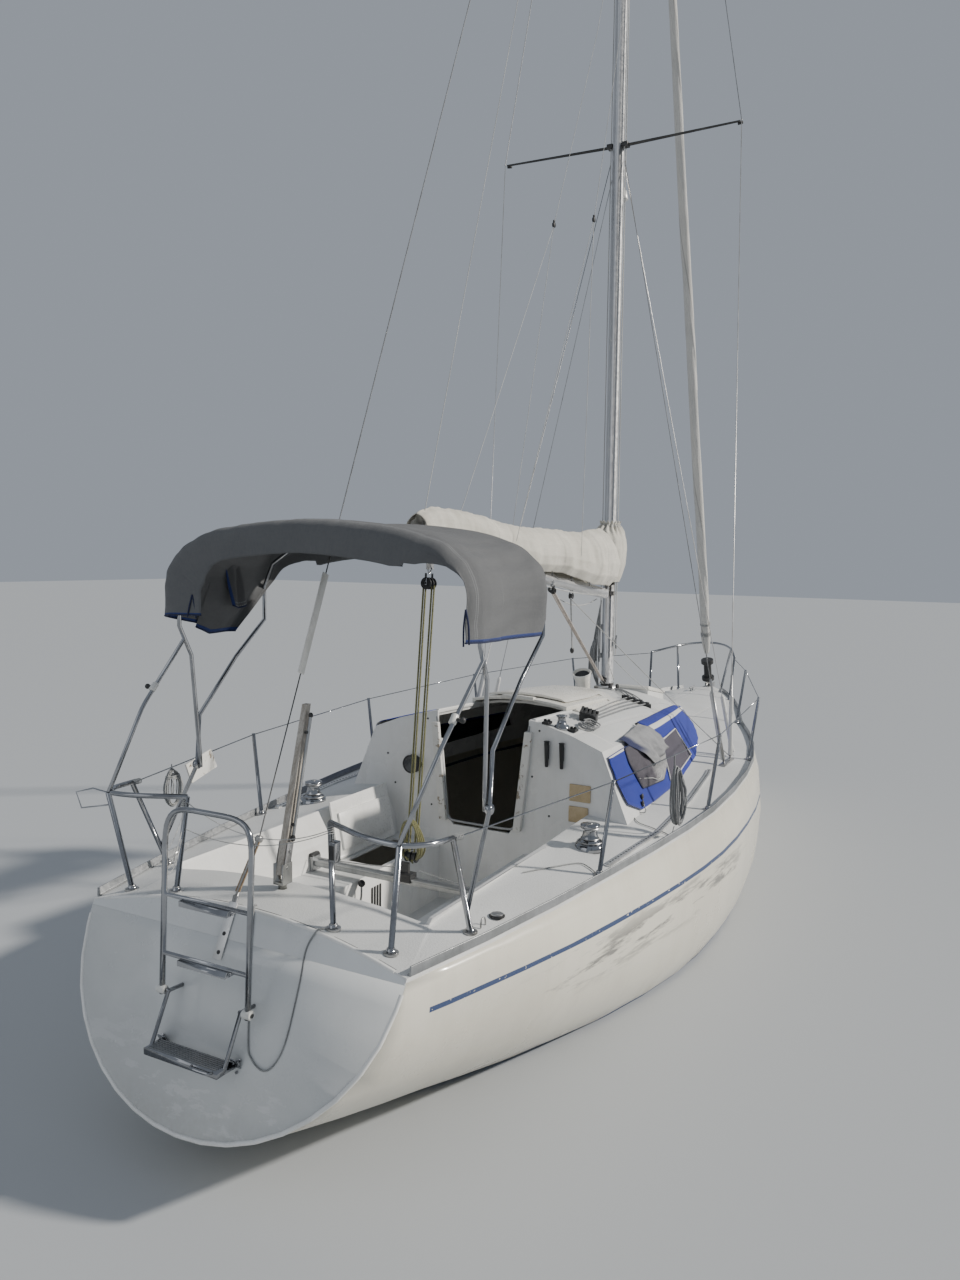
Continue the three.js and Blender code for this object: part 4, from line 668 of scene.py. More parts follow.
def gloss_finish(name, main, dull, scale=3.0):
    material, tree, sockets = new_finish(name, 0.3, Coat_Weight=0.3, Coat_Roughness=0.1)
    wear = use_group(tree, weathering, Scale=scale)
    streaks = use_group(tree, runs, Scale=16.0, Stretch=0.2)["Mask"]
    colour = blend_colour(tree, wear["Stain"], main, dull)
    colour = tint(tree, colour, streaks, 0.2, [c * 0.6 for c in dull])
    colour = tint(tree, colour, wear["Speck"], 0.4, (0.3, 0.28, 0.22))
    lead(tree, sockets, colour, span(tree, wear["Grain"], 0, 1, 0.2, 0.42), wear["Stain"], 0.0006, 0.5)
    return material


deck_gelcoat = deck_finish()
dress_node("deck_moulding", deck_gelcoat, 0.007, 35)
gelcoat = gloss_finish("hatch_gelcoat", (0.82, 0.80, 0.74), (0.72, 0.70, 0.63))
white_gelcoat = gloss_finish("lid_gelcoat", (0.86, 0.86, 0.84), (0.77, 0.77, 0.74))
for node, finish in (("hatch_garage", gelcoat), ("companion_hatch", gelcoat), ("fore_hatch", gelcoat),
                     ("cowl_vent", gelcoat), ("locker_lid", white_gelcoat)):
    dress_node(node, finish, 0.004)


# Metal and black fittings that CAD shapes already: anodised alloy spars, rails and tracks,
# polished steel tubes and winches, and black plastic and coated parts.
alloy = metal_finish("satin_alloy", (0.44, 0.45, 0.46), (0.26, 0.27, 0.27), (0.35, 0.6), 2.5, 0.35)
track_alloy = metal_finish("track_alloy", (0.86, 0.86, 0.85), (0.62, 0.62, 0.60), (0.35, 0.55), 5.0, 0.2)
spar_alloy = metal_finish("spar_alloy", (0.82, 0.82, 0.82), (0.68, 0.68, 0.69), (0.34, 0.5), 1.2, 0.12)
steel = metal_finish("polished_steel", (0.40, 0.41, 0.43), (0.22, 0.225, 0.235), (0.06, 0.20), 4.0)
worn_steel = metal_finish("worn_steel", (0.52, 0.52, 0.52), (0.30, 0.29, 0.27), (0.28, 0.5), 9.0)


def black_finish():
    material, tree, sockets = new_finish("black_plastic", 0.5)
    wear = use_group(tree, weathering, Scale=8.0)
    colour = blend_colour(tree, wear["Stain"], (0.016, 0.017, 0.019), (0.055, 0.055, 0.055))
    colour = tint(tree, colour, wear["Speck"], 0.5, (0.2, 0.2, 0.19))
    lead(tree, sockets, colour, span(tree, wear["Grain"], 0, 1, 0.35, 0.65), wear["Grain"], 0.0003)
    return material


black = black_finish()
for finish, found in (
    (alloy, "toe_rail_port toe_rail_starboard traveller_beam bow_cleat"),
    (track_alloy, "genoa_track_port genoa_track_starboard"),
    (spar_alloy, "mast boom"),
    (steel, "pushpit_port pushpit_starboard pulpit guard_rail_port guard_rail_starboard"),
    (steel, "winch_port winch_starboard cabin_winch swim_ladder ladder_bracket"),
    (steel, "bimini_frame_aft bimini_frame_forward"),
    (worn_steel, "shrouds_port shrouds_starboard backstay stem_fitting"),
    (black, "spreaders furler_drum traveller_car rope_clutches deck_organizer bulkhead_instrument"),
):
    for node in found.split():
        dress_node(node, finish, 0.0015 if finish is black or finish is alloy else 0.0)


# Wood: the bare laminated tiller, gone pale grey, and the painted rails that hold the washboards.
# The rail board is painted too. Where the paint has chipped, wood shows.
def wood_finish(name, pale, dark, paint=None):
    material, tree, sockets = new_finish(name, 0.7)
    here = put(tree, "TexCoord").outputs["Object"]
    long_way = put(tree, "Mapping", {"Vector": here, "Scale": (9.0, 9.0, 0.9)}).outputs[0]
    bend = put(tree, "TexNoise", {"Vector": long_way, "Scale": 5.0, "Detail": 6.0, "Distortion": 1.2})
    fibre = put(tree, "TexNoise", {"Vector": long_way, "Scale": 40.0, "Detail": 3.0})
    colour = blend_colour(tree, span(tree, bend.outputs[0], 0.35, 0.65), pale, dark)
    colour = blend_colour(tree, span(tree, fibre.outputs[0], 0.5, 0.75), colour, [c * 0.5 for c in dark])
    height = fibre.outputs[0]
    if paint:
        chips = put(tree, "TexNoise", {"Vector": here, "Scale": 16.0, "Detail": 8.0, "Roughness": 0.7})
        bare = span(tree, chips.outputs[0], 0.58, 0.60)
        stain = use_group(tree, weathering, Scale=6.0)["Stain"]
        coat = blend_colour(tree, stain, paint, [c * 0.8 for c in paint])
        colour = blend_colour(tree, bare, coat, colour)
        height = minus(tree, times(tree, height, 0.2), bare)
    tree.links.new(colour, sockets["Base Color"])
    bump(tree, sockets, height, 0.0008)
    return material


grey_wood = wood_finish("weathered_wood", (0.56, 0.53, 0.48), (0.36, 0.32, 0.27))
chipped = wood_finish("chipped_paint", (0.42, 0.36, 0.28), (0.26, 0.20, 0.14), (0.78, 0.77, 0.73))
dress_node("tiller", grey_wood, 0.005)
for node in ("washboard_rail_port", "washboard_rail_starboard", "rail_board"):
    dress_node(node, chipped, 0.003)


# Cabin windows: smoked acrylic let into the cabin side.
smoked, tree, sockets = new_finish("smoked_acrylic", 0.06, Transmission_Weight=0.85, IOR=1.49)
wear = use_group(tree, weathering, Scale=5.0)
lead(tree, sockets, blend_colour(tree, wear["Stain"], (0.10, 0.12, 0.13), (0.16, 0.18, 0.19)),
     span(tree, wear["Grain"], 0, 1, 0.04, 0.16))
for node in ("window_port", "window_starboard"):
    mesh = nodes[node].data
    mesh.materials.clear()
    mesh.materials.append(smoked)


# Bimini canopy: one sheet of mid grey acrylic cloth, stretched over two hoops, with a blue bound
# edge all round. A deep flap hangs at the port aft corner and the rest of the aft edge turns down.
def along(table, at, column=1):
    """The value at a place, in straight lines between the rows of a table that starts with the place."""
    if at <= table[0][0]:
        return table[0][column]
    for low, high in zip(table, table[1:]):
        if at <= high[0]:
            return low[column] + (high[column] - low[column]) * (at - low[0]) / (high[0] - low[0])
    return table[-1][column]


def rough(x, y, z):
    return noise.noise(Vector((x, y, z)))


def ease(at, low, high):
    t = min(1, max(0, (at - low) / (high - low)))
    return t * t * (3 - 2 * t)


def cloth(name, across, down, place, size, materials, body="hull", slot=None, thick=0.0016, closed=False):
    """A grid of cloth: place(u, v) gives each vertex, and the UV is the flat cut in metres."""
    bm = bmesh.new()
    layer = bm.loops.layers.uv.new("UVMap")
    bmesh.ops.create_grid(bm, x_segments=across, y_segments=down, size=0.5)
    flat = {vert: (vert.co.x + 0.5, vert.co.y + 0.5) for vert in bm.verts}
    for face in bm.faces:
        for loop in face.loops:
            u, v = flat[loop.vert]
            loop[layer].uv = (u * size[0], v * size[1])
    for vert, (u, v) in flat.items():
        vert.co = place(u, v)
    if closed:
        bmesh.ops.remove_doubles(bm, verts=bm.verts, dist=1e-5)
    piece = add_piece(name, bm, materials, body, slot, sharp=70)
    if thick:
        wall = piece.modifiers.new("thickness", "SOLIDIFY")
        wall.thickness = thick
        wall.offset = 0
    return piece


def sheet(name, across, down, place, size, material, held, rests_on, stands_for=None, **settings):
    """A piece of cloth. It may stand for a CAD node, which is then hidden."""
    facts = {"area": settings.pop("area")} if "area" in settings else {}
    piece = cloth(name, across, down, place, size, [material], **settings)
    if stands_for:
        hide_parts(stands_for)


def weave_group():
    """Plain weave: threads over and under each other, read from the cloth's UV in metres."""
    group, given, gives = new_group("weave", {"Threads": 800.0}, ("Height", "Tone"))
    uv = coordinates(group, "UV")
    ways = [maths(group, "SINE", times(group, uv[i], times(group, given["Threads"], math.pi)))
            for i in (0, 1)]
    group.links.new(span(group, times(group, *ways), -1, 1), gives["Height"])
    slubs = put(group, "Mapping", {"Vector": put(group, "TexCoord").outputs["UV"],
                                   "Scale": (140.0, 9.0, 1.0)})
    tone = put(group, "TexNoise", {"Vector": slubs.outputs[0], "Scale": 1.0, "Detail": 4.0})
    group.links.new(span(group, tone.outputs[0], 0.35, 0.65), gives["Tone"])
    return group


weave = weave_group()


STITCH_LENGTH = 0.008


def stitch_row(tree, across, at, way):
    """Dashes of thread in a line: 1 where the coordinate across is at the line and a stitch lies."""
    dash = maths(tree, "FRACT", maths(tree, "DIVIDE", way, STITCH_LENGTH))
    return times(tree, band(tree, across, at, 0.0009, 0.0006), band(tree, dash, 0.4, 0.3, 0.05))


def cloth_finish(name, main, dull, threads=800.0, stain=None, stain_share=0.3, scale=2.5, extra=None,
                 depth=0.0004):
    material, tree, sockets = new_finish(name, 0.85, Sheen_Weight=0.08)
    wear = use_group(tree, weathering, Scale=scale)
    yarn = use_group(tree, weave, Threads=threads)
    colour = blend_colour(tree, wear["Stain"], main, dull)
    colour = tint(tree, colour, yarn["Tone"], 0.25, [c * 0.8 for c in dull])
    if stain:
        colour = tint(tree, colour, wear["Grain"], stain_share, stain)
    height = plus(tree, yarn["Height"], times(tree, wear["Grain"], 1.5))
    if extra:
        colour, height = extra(tree, colour, height)
    tree.links.new(colour, sockets["Base Color"])
    bump(tree, sockets, height, depth)
    return material


def canopy_seams(tree, colour, height):
    uv = coordinates(tree, "UV")
    across, way = uv[0], uv[1]
    rows = 0.0
    lap = 0.0
    for seam in CANOPY_SEAMS:
        lap = larger(tree, lap, band(tree, way, seam, 0.011, 0.001))
        for off in (-0.008, 0.008):
            rows = larger(tree, rows, stitch_row(tree, way, seam + off, across))
    border = maths(tree, "MINIMUM", across, minus(tree, CANOPY_CUT[0], across))
    bound = span(tree, border, 0.014, 0.012)
    colour = tint(tree, colour, lap, 0.25, (0.11, 0.115, 0.125))
    colour = blend_colour(tree, rows, colour, (0.34, 0.35, 0.36))
    colour = blend_colour(tree, bound, colour, (0.02, 0.04, 0.17))
    height = plus(tree, height, times(tree, larger(tree, lap, bound), 3.0))
    return colour, height


CANOPY_CUT, CANOPY_SEAMS = (2.42, 1.34), (0.235, 1.155)
CANOPY_ARCH = smooth_run(
    [(0.885, 0, 2.215), (0.885, 0, 2.31), (0.884, 0, 2.400), (0.862, 0, 2.475), (0.825, 0, 2.530),
     (0.760, 0, 2.583), (0.675, 0, 2.625), (0.5, 0, 2.672), (0.25, 0, 2.701), (0, 0, 2.712),
     (-0.25, 0, 2.701), (-0.5, 0, 2.672), (-0.675, 0, 2.625), (-0.760, 0, 2.583), (-0.825, 0, 2.530),
     (-0.862, 0, 2.475), (-0.884, 0, 2.400), (-0.885, 0, 2.31), (-0.885, 0, 2.215)],
    0.01,
)
# Rows of the canopy from its aft edge to its forward edge: share of the cut, x, share of the
# turned-down depth, sag towards the inside
CANOPY_ROWS = [
    (0.00, -3.350, 1.0, 0.0), (0.06, -3.349, 0.60, 0.004), (0.115, -3.338, 0.20, 0.010),
    (0.15, -3.310, 0.04, 0.006), (0.19, -3.262, 0.0, 0.003), (0.23, -3.215, 0.0, 0.0),
    (0.34, -3.08, 0.0, 0.009), (0.51, -2.89, 0.0, 0.017), (0.68, -2.70, 0.0, 0.012), (0.79, -2.565, 0.0, 0.0),
    (0.83, -2.525, 0.05, 0.006), (0.87, -2.502, 0.22, 0.012), (1.00, -2.490, 1.0, 0.006),
]
AFT_DEPTH = [(0.0, 0.30), (0.11, 0.30), (0.17, 0.27), (0.24, 0.19), (0.30, 0.165), (0.5, 0.158),
             (0.72, 0.165), (0.80, 0.13), (0.86, 0.05), (0.90, 0.015), (1.0, 0.013)]
FORE_DEPTH = [(0.0, 0.02), (0.08, 0.03), (0.16, 0.10), (0.26, 0.17), (0.5, 0.16), (0.74, 0.17), (0.84, 0.10),
              (0.92, 0.03), (1.0, 0.02)]
PORT_HEM = [(-3.35, 2.240), (-3.10, 2.187), (-2.816, 2.125)]
STARBOARD_HEM = [(-3.35, 2.195), (-3.03, 2.183)]
# Height and x of the forward edge, which is cut back at the sides
PORT_FORE = [(2.12, -2.816), (2.40, -2.50), (2.55, -2.49)]
STARBOARD_FORE = [(2.18, -2.594), (2.26, -2.524), (2.42, -2.512), (2.60, -2.49)]
# Aft edge and length of the canopy, and the height under which its sides hang straight
CANOPY_AFT, CANOPY_LENGTH, CANOPY_KNEE = -3.35, 0.86, 2.40
ROW_LINE = [tuple(p) for p in smooth_run([row[:3] for row in CANOPY_ROWS], 0.008)]
SAG_SCALE = 6
SAG_LINE = [tuple(p) for p in smooth_run([(row[0], row[3] * SAG_SCALE, 0) for row in CANOPY_ROWS], 0.008)]


def canopy_place(u, v):
    where = u * (len(CANOPY_ARCH) - 1)
    k = min(int(where), len(CANOPY_ARCH) - 2)
    spot = CANOPY_ARCH[k].lerp(CANOPY_ARCH[k + 1], where - k)
    way = (CANOPY_ARCH[min(k + 2, len(CANOPY_ARCH) - 1)] - CANOPY_ARCH[max(k - 1, 0)]).normalized()
    inward = Vector((0, way.z, -way.x))
    y, z = spot.x, spot.z
    x = along(ROW_LINE, v)
    depth = along(ROW_LINE, v, 2) * along(AFT_DEPTH if v < 0.5 else FORE_DEPTH, u)
    sag = along(SAG_LINE, v) / SAG_SCALE
    if z < CANOPY_KNEE:
        hem = along(PORT_HEM if y > 0 else STARBOARD_HEM, x)
        z = CANOPY_KNEE - (CANOPY_KNEE - z) / 0.185 * (CANOPY_KNEE - hem)
    fore = along(PORT_FORE if y > 0 else STARBOARD_FORE, z)
    x = CANOPY_AFT + (x - CANOPY_AFT) * (fore - CANOPY_AFT) / CANOPY_LENGTH if x > -3.0 else x
    inward = inward if inward.dot(Vector((0, -y, 2.1 - z))) > 0 else -inward
    free = 1 - max(0, 1 - abs(v - 0.23) / 0.05) - max(0, 1 - abs(v - 0.79) / 0.05)
    steep = ease(abs(y), 0.55, 0.85)
    waves = rough(x * 1.6, u * 30 + x * 1.5, 3.1) * (0.004 + 0.013 * steep)
    waves += rough(x * 4.0, u * 60, 7.7) * 0.0025
    edge = ease(min(v, 1 - v), 0.0, 0.16)
    shift = depth + sag * (1 + 0.8 * steep) + waves * max(free, 0.15) * (0.2 + 0.8 * edge)
    centre = Vector((0, -y, 2.30 - z)).normalized()
    towards = (inward * 0.6 + centre * 0.4).normalized() if depth > 0.05 and abs(y) > 0.6 else inward
    return Vector((x, y, z)) + towards * shift


canopy_cloth = cloth_finish("canopy_cloth", (0.125, 0.130, 0.136), (0.100, 0.104, 0.110), 900.0,
                            (0.15, 0.15, 0.15), 0.3, extra=canopy_seams)
sheet("canopy", 190, 96, canopy_place, CANOPY_CUT, canopy_cloth, "stretched",
      ["bimini_frame_aft", "bimini_frame_forward"], "bimini_canopy", thick=0.0022)
CANOPY_HEM_RUNS = [even_run([canopy_place(fixed, k / 96) for k in range(97)], 0.012) for fixed in (0.0, 1.0)]
navy_binding = cloth_finish("navy_binding", (0.008, 0.014, 0.055), (0.014, 0.022, 0.075), 1200.0)
BINDING = 0.0042
strands("canopy_binding", CANOPY_HEM_RUNS, BINDING, navy_binding, fine=1)


# Canopy slits: the cloth is cut and bound in blue where the aft legs come out, and a small pocket
# with a blue hem hangs from the port hoop.
SLITS = [
    [(-3.352, 0.640, 2.345), (-3.356, 0.655, 2.290), (-3.352, 0.672, 2.236)],
    [(-3.352, 0.640, 2.345), (-3.348, 0.628, 2.290), (-3.346, 0.622, 2.232)],
    [(-3.353, -0.868, 2.335), (-3.357, -0.884, 2.270), (-3.352, -0.886, 2.190)],
    [(-3.353, -0.868, 2.335), (-3.350, -0.858, 2.260), (-3.346, -0.856, 2.180)],
]
strands("canopy_slits", [smooth_run(s, 0.01) for s in SLITS], BINDING, navy_binding, fine=1)


POCKET = (0.10, 0.25)


def pocket_place(u, v):
    swing = 0.012 * math.sin(u * 9 + v * 3)
    return Vector((-2.90 + POCKET[0] * u, 0.845 - 0.05 * v + swing,
                   2.52 - POCKET[1] * v - 0.015 * math.sin(u * math.pi)))


sheet("canopy_pocket", 14, 18, pocket_place, POCKET, canopy_cloth, "hung", ["canopy"])
strands("pocket_hem", [even_run([pocket_place(k / 14, 1.0) for k in range(15)], 0.01)], 0.004, navy_binding,
        fine=1)


# Sail cover: off-white canvas laced under the flaked mainsail, with soft pulls between the lazy
# jacks, an open rolled end aft and rain stains. It stays with the boom, and a second piece covers
# the front of the mast; the seam between them is a circle round the gooseneck, so both can turn.
GOOSENECK_X, COVER_SEAM, COLLAR_SEAM = 0.596, 0.158, 0.150
BOOM_FRONT, BOOM_RISE, BOOM_Z = 0.575, 0.116, 2.262


def boom_z(x):
    return BOOM_Z + (BOOM_FRONT - x) * BOOM_RISE


# The cover along the boom, from its aft end: height of its top, half width and how far its lower edge
# is above the boom. Its section gives the share of the half width and of the height.
COVER_AFT, COVER_LENGTH = -2.335, 2.83
COVER_SEAMS_X = (-1.52, -0.55, 0.30)
# Where the lazy jacks pull the cover in
JACK_X = (-1.733, -1.318, -0.928, -0.279)
COVER_TOP = [(-2.335, 2.775), (-2.18, 2.822), (-1.98, 2.822), (-1.77, 2.812), (-1.414, 2.777), (-1.15, 2.745),
             (-1.017, 2.738), (-0.70, 2.744), (-0.375, 2.738), (-0.04, 2.742), (0.25, 2.765), (0.47, 2.785)]
COVER_HALF = [(-2.335, 0.062), (-2.15, 0.080), (-1.5, 0.100), (-0.8, 0.120), (-0.2, 0.132), (0.25, 0.140),
              (0.6, 0.140)]
COVER_LOW = [(-2.335, 0.055), (-1.6, 0.030), (-1.318, 0.046), (-0.9, 0.020), (-0.53, 0.052), (-0.206, 0.048),
             (0.1, 0.028), (0.459, 0.052)]
COVER_SECTION = [(0.0, 0.62, 0.0), (0.10, 0.97, 0.17), (0.22, 1.04, 0.38), (0.34, 0.90, 0.64),
                 (0.43, 0.56, 0.88), (0.5, 0.0, 1.0)]


def cover_place(u, v):
    side = 1 if u < 0.5 else -1
    share = u if u < 0.5 else 1 - u
    half = along(COVER_HALF, COVER_AFT + COVER_LENGTH * v)
    wide, tall = along(COVER_SECTION, share), along(COVER_SECTION, share, 2)
    round_top = ease(share, 0.36, 0.5)
    y = side * half * (wide if round_top == 0 else wide * (1 - 0.12 * math.sin(round_top * math.pi)))
    front = GOOSENECK_X - math.sqrt(max(COVER_SEAM**2 - y * y, 0.002))
    x = COVER_AFT + (front - COVER_AFT) * v
    low = boom_z(x) + along(COVER_LOW, x)
    top = along(COVER_TOP, x)
    z = low + (top - low) * tall
    hang = 1 - ease(share, 0.1, 0.5)
    fold = rough(x * 4.5, z * 1.6, 1.3 + side) * 0.021 * (0.4 + hang)
    fold += rough(x * 16, z * 5, 4.1 + side) * 0.007
    fold += rough(x * 7 + z * 5, z * 11 - x * 3, 8.3 + side) * 0.008
    fold += math.sin(x * 21 + 2.4 * math.sin(z * 9)) * 0.004 * hang
    pull = sum(math.exp(-(((x - at) / 0.07) ** 2)) for at in JACK_X)
    y -= side * pull * 0.013 * (0.3 + hang)
    lean = Vector((0, side * (1 - round_top), round_top))
    return Vector((x, y, z)) + lean * fold * (0.35 if v > 0.97 or v < 0.01 else 1.0)


def cover_marks(tree, colour, height):
    x, _, z = coordinates(tree, "Object")[0:3]
    seams = 0.0
    for where in COVER_SEAMS_X:
        seams = larger(tree, seams, band(tree, x, where, 0.008, 0.001))
    rain = use_group(tree, runs, Scale=9.0, Stretch=0.12)["Mask"]
    top = span(tree, z, 2.62, 2.80)
    stain = times(tree, rain, plus(tree, times(tree, top, 0.50), 0.14))
    colour = blend_colour(tree, stain, colour, (0.33, 0.31, 0.26))
    colour = tint(tree, colour, seams, 0.3, (0.42, 0.40, 0.35))
    return colour, plus(tree, height, times(tree, seams, 2.0))


canvas = cloth_finish("cover_canvas", (0.74, 0.715, 0.64), (0.60, 0.575, 0.50), 700.0, (0.50, 0.47, 0.39),
                      0.25, 1.8, extra=cover_marks, depth=0.0005)
sheet("mainsail_cover", 96, 190, cover_place, (0.82, 2.84), canvas, "gathered", ["boom"], "sail_cover",
      body="boom", thick=0.002)


def inner_place(u, v):
    """Folds of the sail that show in the open aft end of the cover."""
    angle = u * 2 * math.pi
    radius = (1 - 0.75 * v) * (1 + 0.16 * math.sin(angle * 5 + v * 6))
    return Vector((-2.318 + 0.07 * v, 0.044 * radius * math.cos(angle),
                   2.705 + 0.062 * radius * math.sin(angle)))


sailcloth_plain = cloth_finish("sail_folds", (0.50, 0.49, 0.45), (0.34, 0.33, 0.30), 900.0)
sheet("sail_folds", 40, 10, inner_place, (0.34, 0.10), sailcloth_plain, "gathered", ["boom"], area=0.026,
      body="boom", slot="sailcloth", closed=True)
MAST_LEAN, MAST_FOOT_X, MAST_FOOT_Z = 0.0181, 0.700, 1.478


def mast_x(z):
    return MAST_FOOT_X - MAST_LEAN * (z - MAST_FOOT_Z)


# Collar round the mast: height, reach ahead of the mast's middle and behind it, half width
COLLAR = [(2.352, 0.092, 0.150, 0.076), (2.40, 0.125, 0.190, 0.092), (2.50, 0.188, 0.220, 0.118),
          (2.62, 0.214, 0.220, 0.129), (2.70, 0.200, 0.215, 0.120), (2.76, 0.165, 0.200, 0.100),
          (2.795, 0.118, 0.150, 0.078), (2.812, 0.092, 0.118, 0.062), (2.840, 0.104, 0.132, 0.074)]


COLLAR_HEIGHT = COLLAR[-1][0] - COLLAR[0][0]


def collar_place(u, v):
    z = COLLAR[0][0] + v * COLLAR_HEIGHT
    front, back, half = [along(COLLAR, z, i) for i in (1, 2, 3)]
    angle = 2 * math.pi * u
    tight = ease(z, 2.70, 2.81)
    ruffle = 1 + 0.085 * tight * math.sin(angle * 15 + 1.4 * math.sin(angle * 3))
    ruffle += rough(math.cos(angle) * 2, math.sin(angle) * 2, z * 9) * 0.07
    ruffle += rough(math.cos(angle) * 6, math.sin(angle) * 6, z * 5) * 0.03
    x = mast_x(z) + (front if math.cos(angle) > 0 else back) * math.cos(angle) * ruffle
    y = half * math.sin(angle) * ruffle
    seam = GOOSENECK_X - math.sqrt(max(COLLAR_SEAM**2 - y * y, 0.001))
    sag = -0.02 * math.sin(math.pi * min(v * 1.6, 1)) * max(0, math.cos(angle))
    return Vector((max(x, seam), y, z + sag + 0.010 * tight * math.sin(angle * 15)))


sheet("mainsail_cover_front", 150, 70, collar_place, (0.95, 0.50), canvas, "gathered", ["mast"],
      "sail_cover_front", thick=0.002, closed=True)
drawstring = []
for height in (2.806, 2.814):
    ring = [collar_place(k / 60, (height - COLLAR[0][0]) / COLLAR_HEIGHT) for k in range(61)]
    ring = [p + Vector((p.x - mast_x(p.z), p.y, 0)).normalized() * 0.004 for p in ring]
    drawstring.append(even_run(ring, 0.012))
dark_line = rope_finish("dark_line", (0.05, 0.055, 0.06), (0.16, 0.16, 0.15), 0.010, 4.0, 0.0006)
white_line = rope_finish("white_line", (0.66, 0.66, 0.63), (0.40, 0.41, 0.42), 0.016, 5.0, 0.0008)
beige_rope = rope_finish("beige_rope", (0.56, 0.47, 0.42), (0.72, 0.68, 0.62), 0.022, 5.0)
strands("collar_drawstring", drawstring, 0.003, white_line, fine=1)


# Lacing under the cover: thin dark shock cord round the boom between small black hooks.
HOOK_X = [-2.05 + 0.345 * k for k in range(8)]
lace = []
for side in (1, -1):
    points = []
    for k, x in enumerate(HOOK_X):
        half = along(COVER_HALF, x) * 0.62
        points.append((x, side * (half + 0.004), boom_z(x) + 0.026))
        if k < len(HOOK_X) - 1:
            points.append((x + 0.17, side * 0.058, boom_z(x + 0.17) + 0.006))
    lace.append(smooth_run(points, 0.015))
strands("cover_lacing", lace, 0.0022, dark_line, body="boom", slot="black_fittings", fine=1)


def round_edges(bm, verts, edges, amount, segments=2):
    """Round the edges off. It returns all of the verts that the shape then has."""
    cut = bmesh.ops.bevel(bm, geom=edges, offset=amount, segments=segments, profile=0.5, affect="EDGES",
                          material=-1)
    return list({vert for face in cut["faces"] for vert in face.verts} | {v for v in verts if v.is_valid})


def add_block(bm, centre, size, round_off=0.0, turn=None, material=0, segments=2):
    """A block with rounded edges. Turn is a rotation matrix."""
    made = bmesh.ops.create_cube(bm, size=1.0)
    verts = made["verts"]
    bmesh.ops.scale(bm, vec=size, verts=verts)
    faces = {face for vert in verts for face in vert.link_faces}
    for face in faces:
        face.material_index = material
    if round_off:
        edges = list({edge for vert in verts for edge in vert.link_edges})
        verts = round_edges(bm, verts, edges, round_off, segments)
    if turn is not None:
        bmesh.ops.transform(bm, matrix=turn.to_4x4(), verts=verts)
    bmesh.ops.translate(bm, vec=centre, verts=verts)


def add_drum(bm, start, end, radius, end_radius=None, sides=20, round_off=0.0, material=0):
    """A round piece from one point to another, with its rims rounded off."""
    start, end = Vector(start), Vector(end)
    axis = end - start
    made = bmesh.ops.create_cone(bm, cap_ends=True, segments=sides, radius1=radius,
                                 radius2=radius if end_radius is None else end_radius, depth=axis.length)
    verts = made["verts"]
    for face in {face for vert in verts for face in vert.link_faces}:
        face.material_index = material
    if round_off:
        rims = [e for e in {e for v in verts for e in v.link_edges}
                if any(len(f.verts) > 4 for f in e.link_faces)]
        verts = round_edges(bm, verts, rims, round_off)
    turn = axis.to_track_quat("Z", "Y").to_matrix().to_4x4()
    bmesh.ops.transform(bm, matrix=Matrix.Translation((start + end) / 2) @ turn, verts=verts)


def add_ball(bm, centre, radius, squeeze=(1, 1, 1), material=0):
    made = bmesh.ops.create_uvsphere(bm, u_segments=16, v_segments=10, radius=radius)
    for face in {face for vert in made["verts"] for face in vert.link_faces}:
        face.material_index = material
    bmesh.ops.scale(bm, vec=squeeze, verts=made["verts"])
    bmesh.ops.translate(bm, vec=centre, verts=made["verts"])


bm = bmesh.new()
for x in HOOK_X:
    for side in (1, -1):
        y = side * (along(COVER_HALF, x) * 0.62 + 0.003)
        add_block(bm, (x, y, boom_z(x) + 0.034), (0.010, 0.006, 0.030), 0.002)
        sweep(bm, smooth_run([(x, y, boom_z(x) + 0.024), (x, y + side * 0.004, boom_z(x) + 0.014),
                              (x, y - side * 0.006, boom_z(x) + 0.012)], 0.004), 0.002, 1)
add_piece("cover_hooks", bm, [black], "boom")


# Furled genoa: the sail rolled round its stay. Its edge winds down the roll as a spiral, with a
# faded strip beside it, and a turn of line lashes it near the foot.
STAY_FOOT, STAY_HEAD = Vector((4.035, 0, 1.080)), Vector((0.648, 0, 11.060))
STAY_WAY = (STAY_HEAD - STAY_FOOT).normalized()
STAY_SIDE = Vector((0, 1, 0))
STAY_OUT = STAY_WAY.cross(STAY_SIDE)
# Share of the stay's length and radius of the rolled sail
ROLL = [(0.042, 0.024), (0.050, 0.040), (0.06, 0.046), (0.20, 0.045), (0.5, 0.040), (0.75, 0.030),
        (0.93, 0.021), (0.955, 0.009)]


def roll_place(u, v):
    t = ROLL[0][0] + v * (ROLL[-1][0] - ROLL[0][0])
    height = t * (STAY_HEAD - STAY_FOOT).length
    turn = u * 2 * math.pi
    wound = (u + height * 0.42) % 1.0
    lip = 1.13 - 0.17 * wound
    lumps = 1 + 0.05 * rough(math.cos(turn), math.sin(turn), height * 2.2)
    lumps += 0.05 * rough(math.cos(turn) * 3, math.sin(turn) * 3, height * 7)
    radius = along(ROLL, t) * lip * lumps
    return STAY_FOOT.lerp(STAY_HEAD, t) + (STAY_SIDE * math.cos(turn) + STAY_OUT * math.sin(turn)) * radius


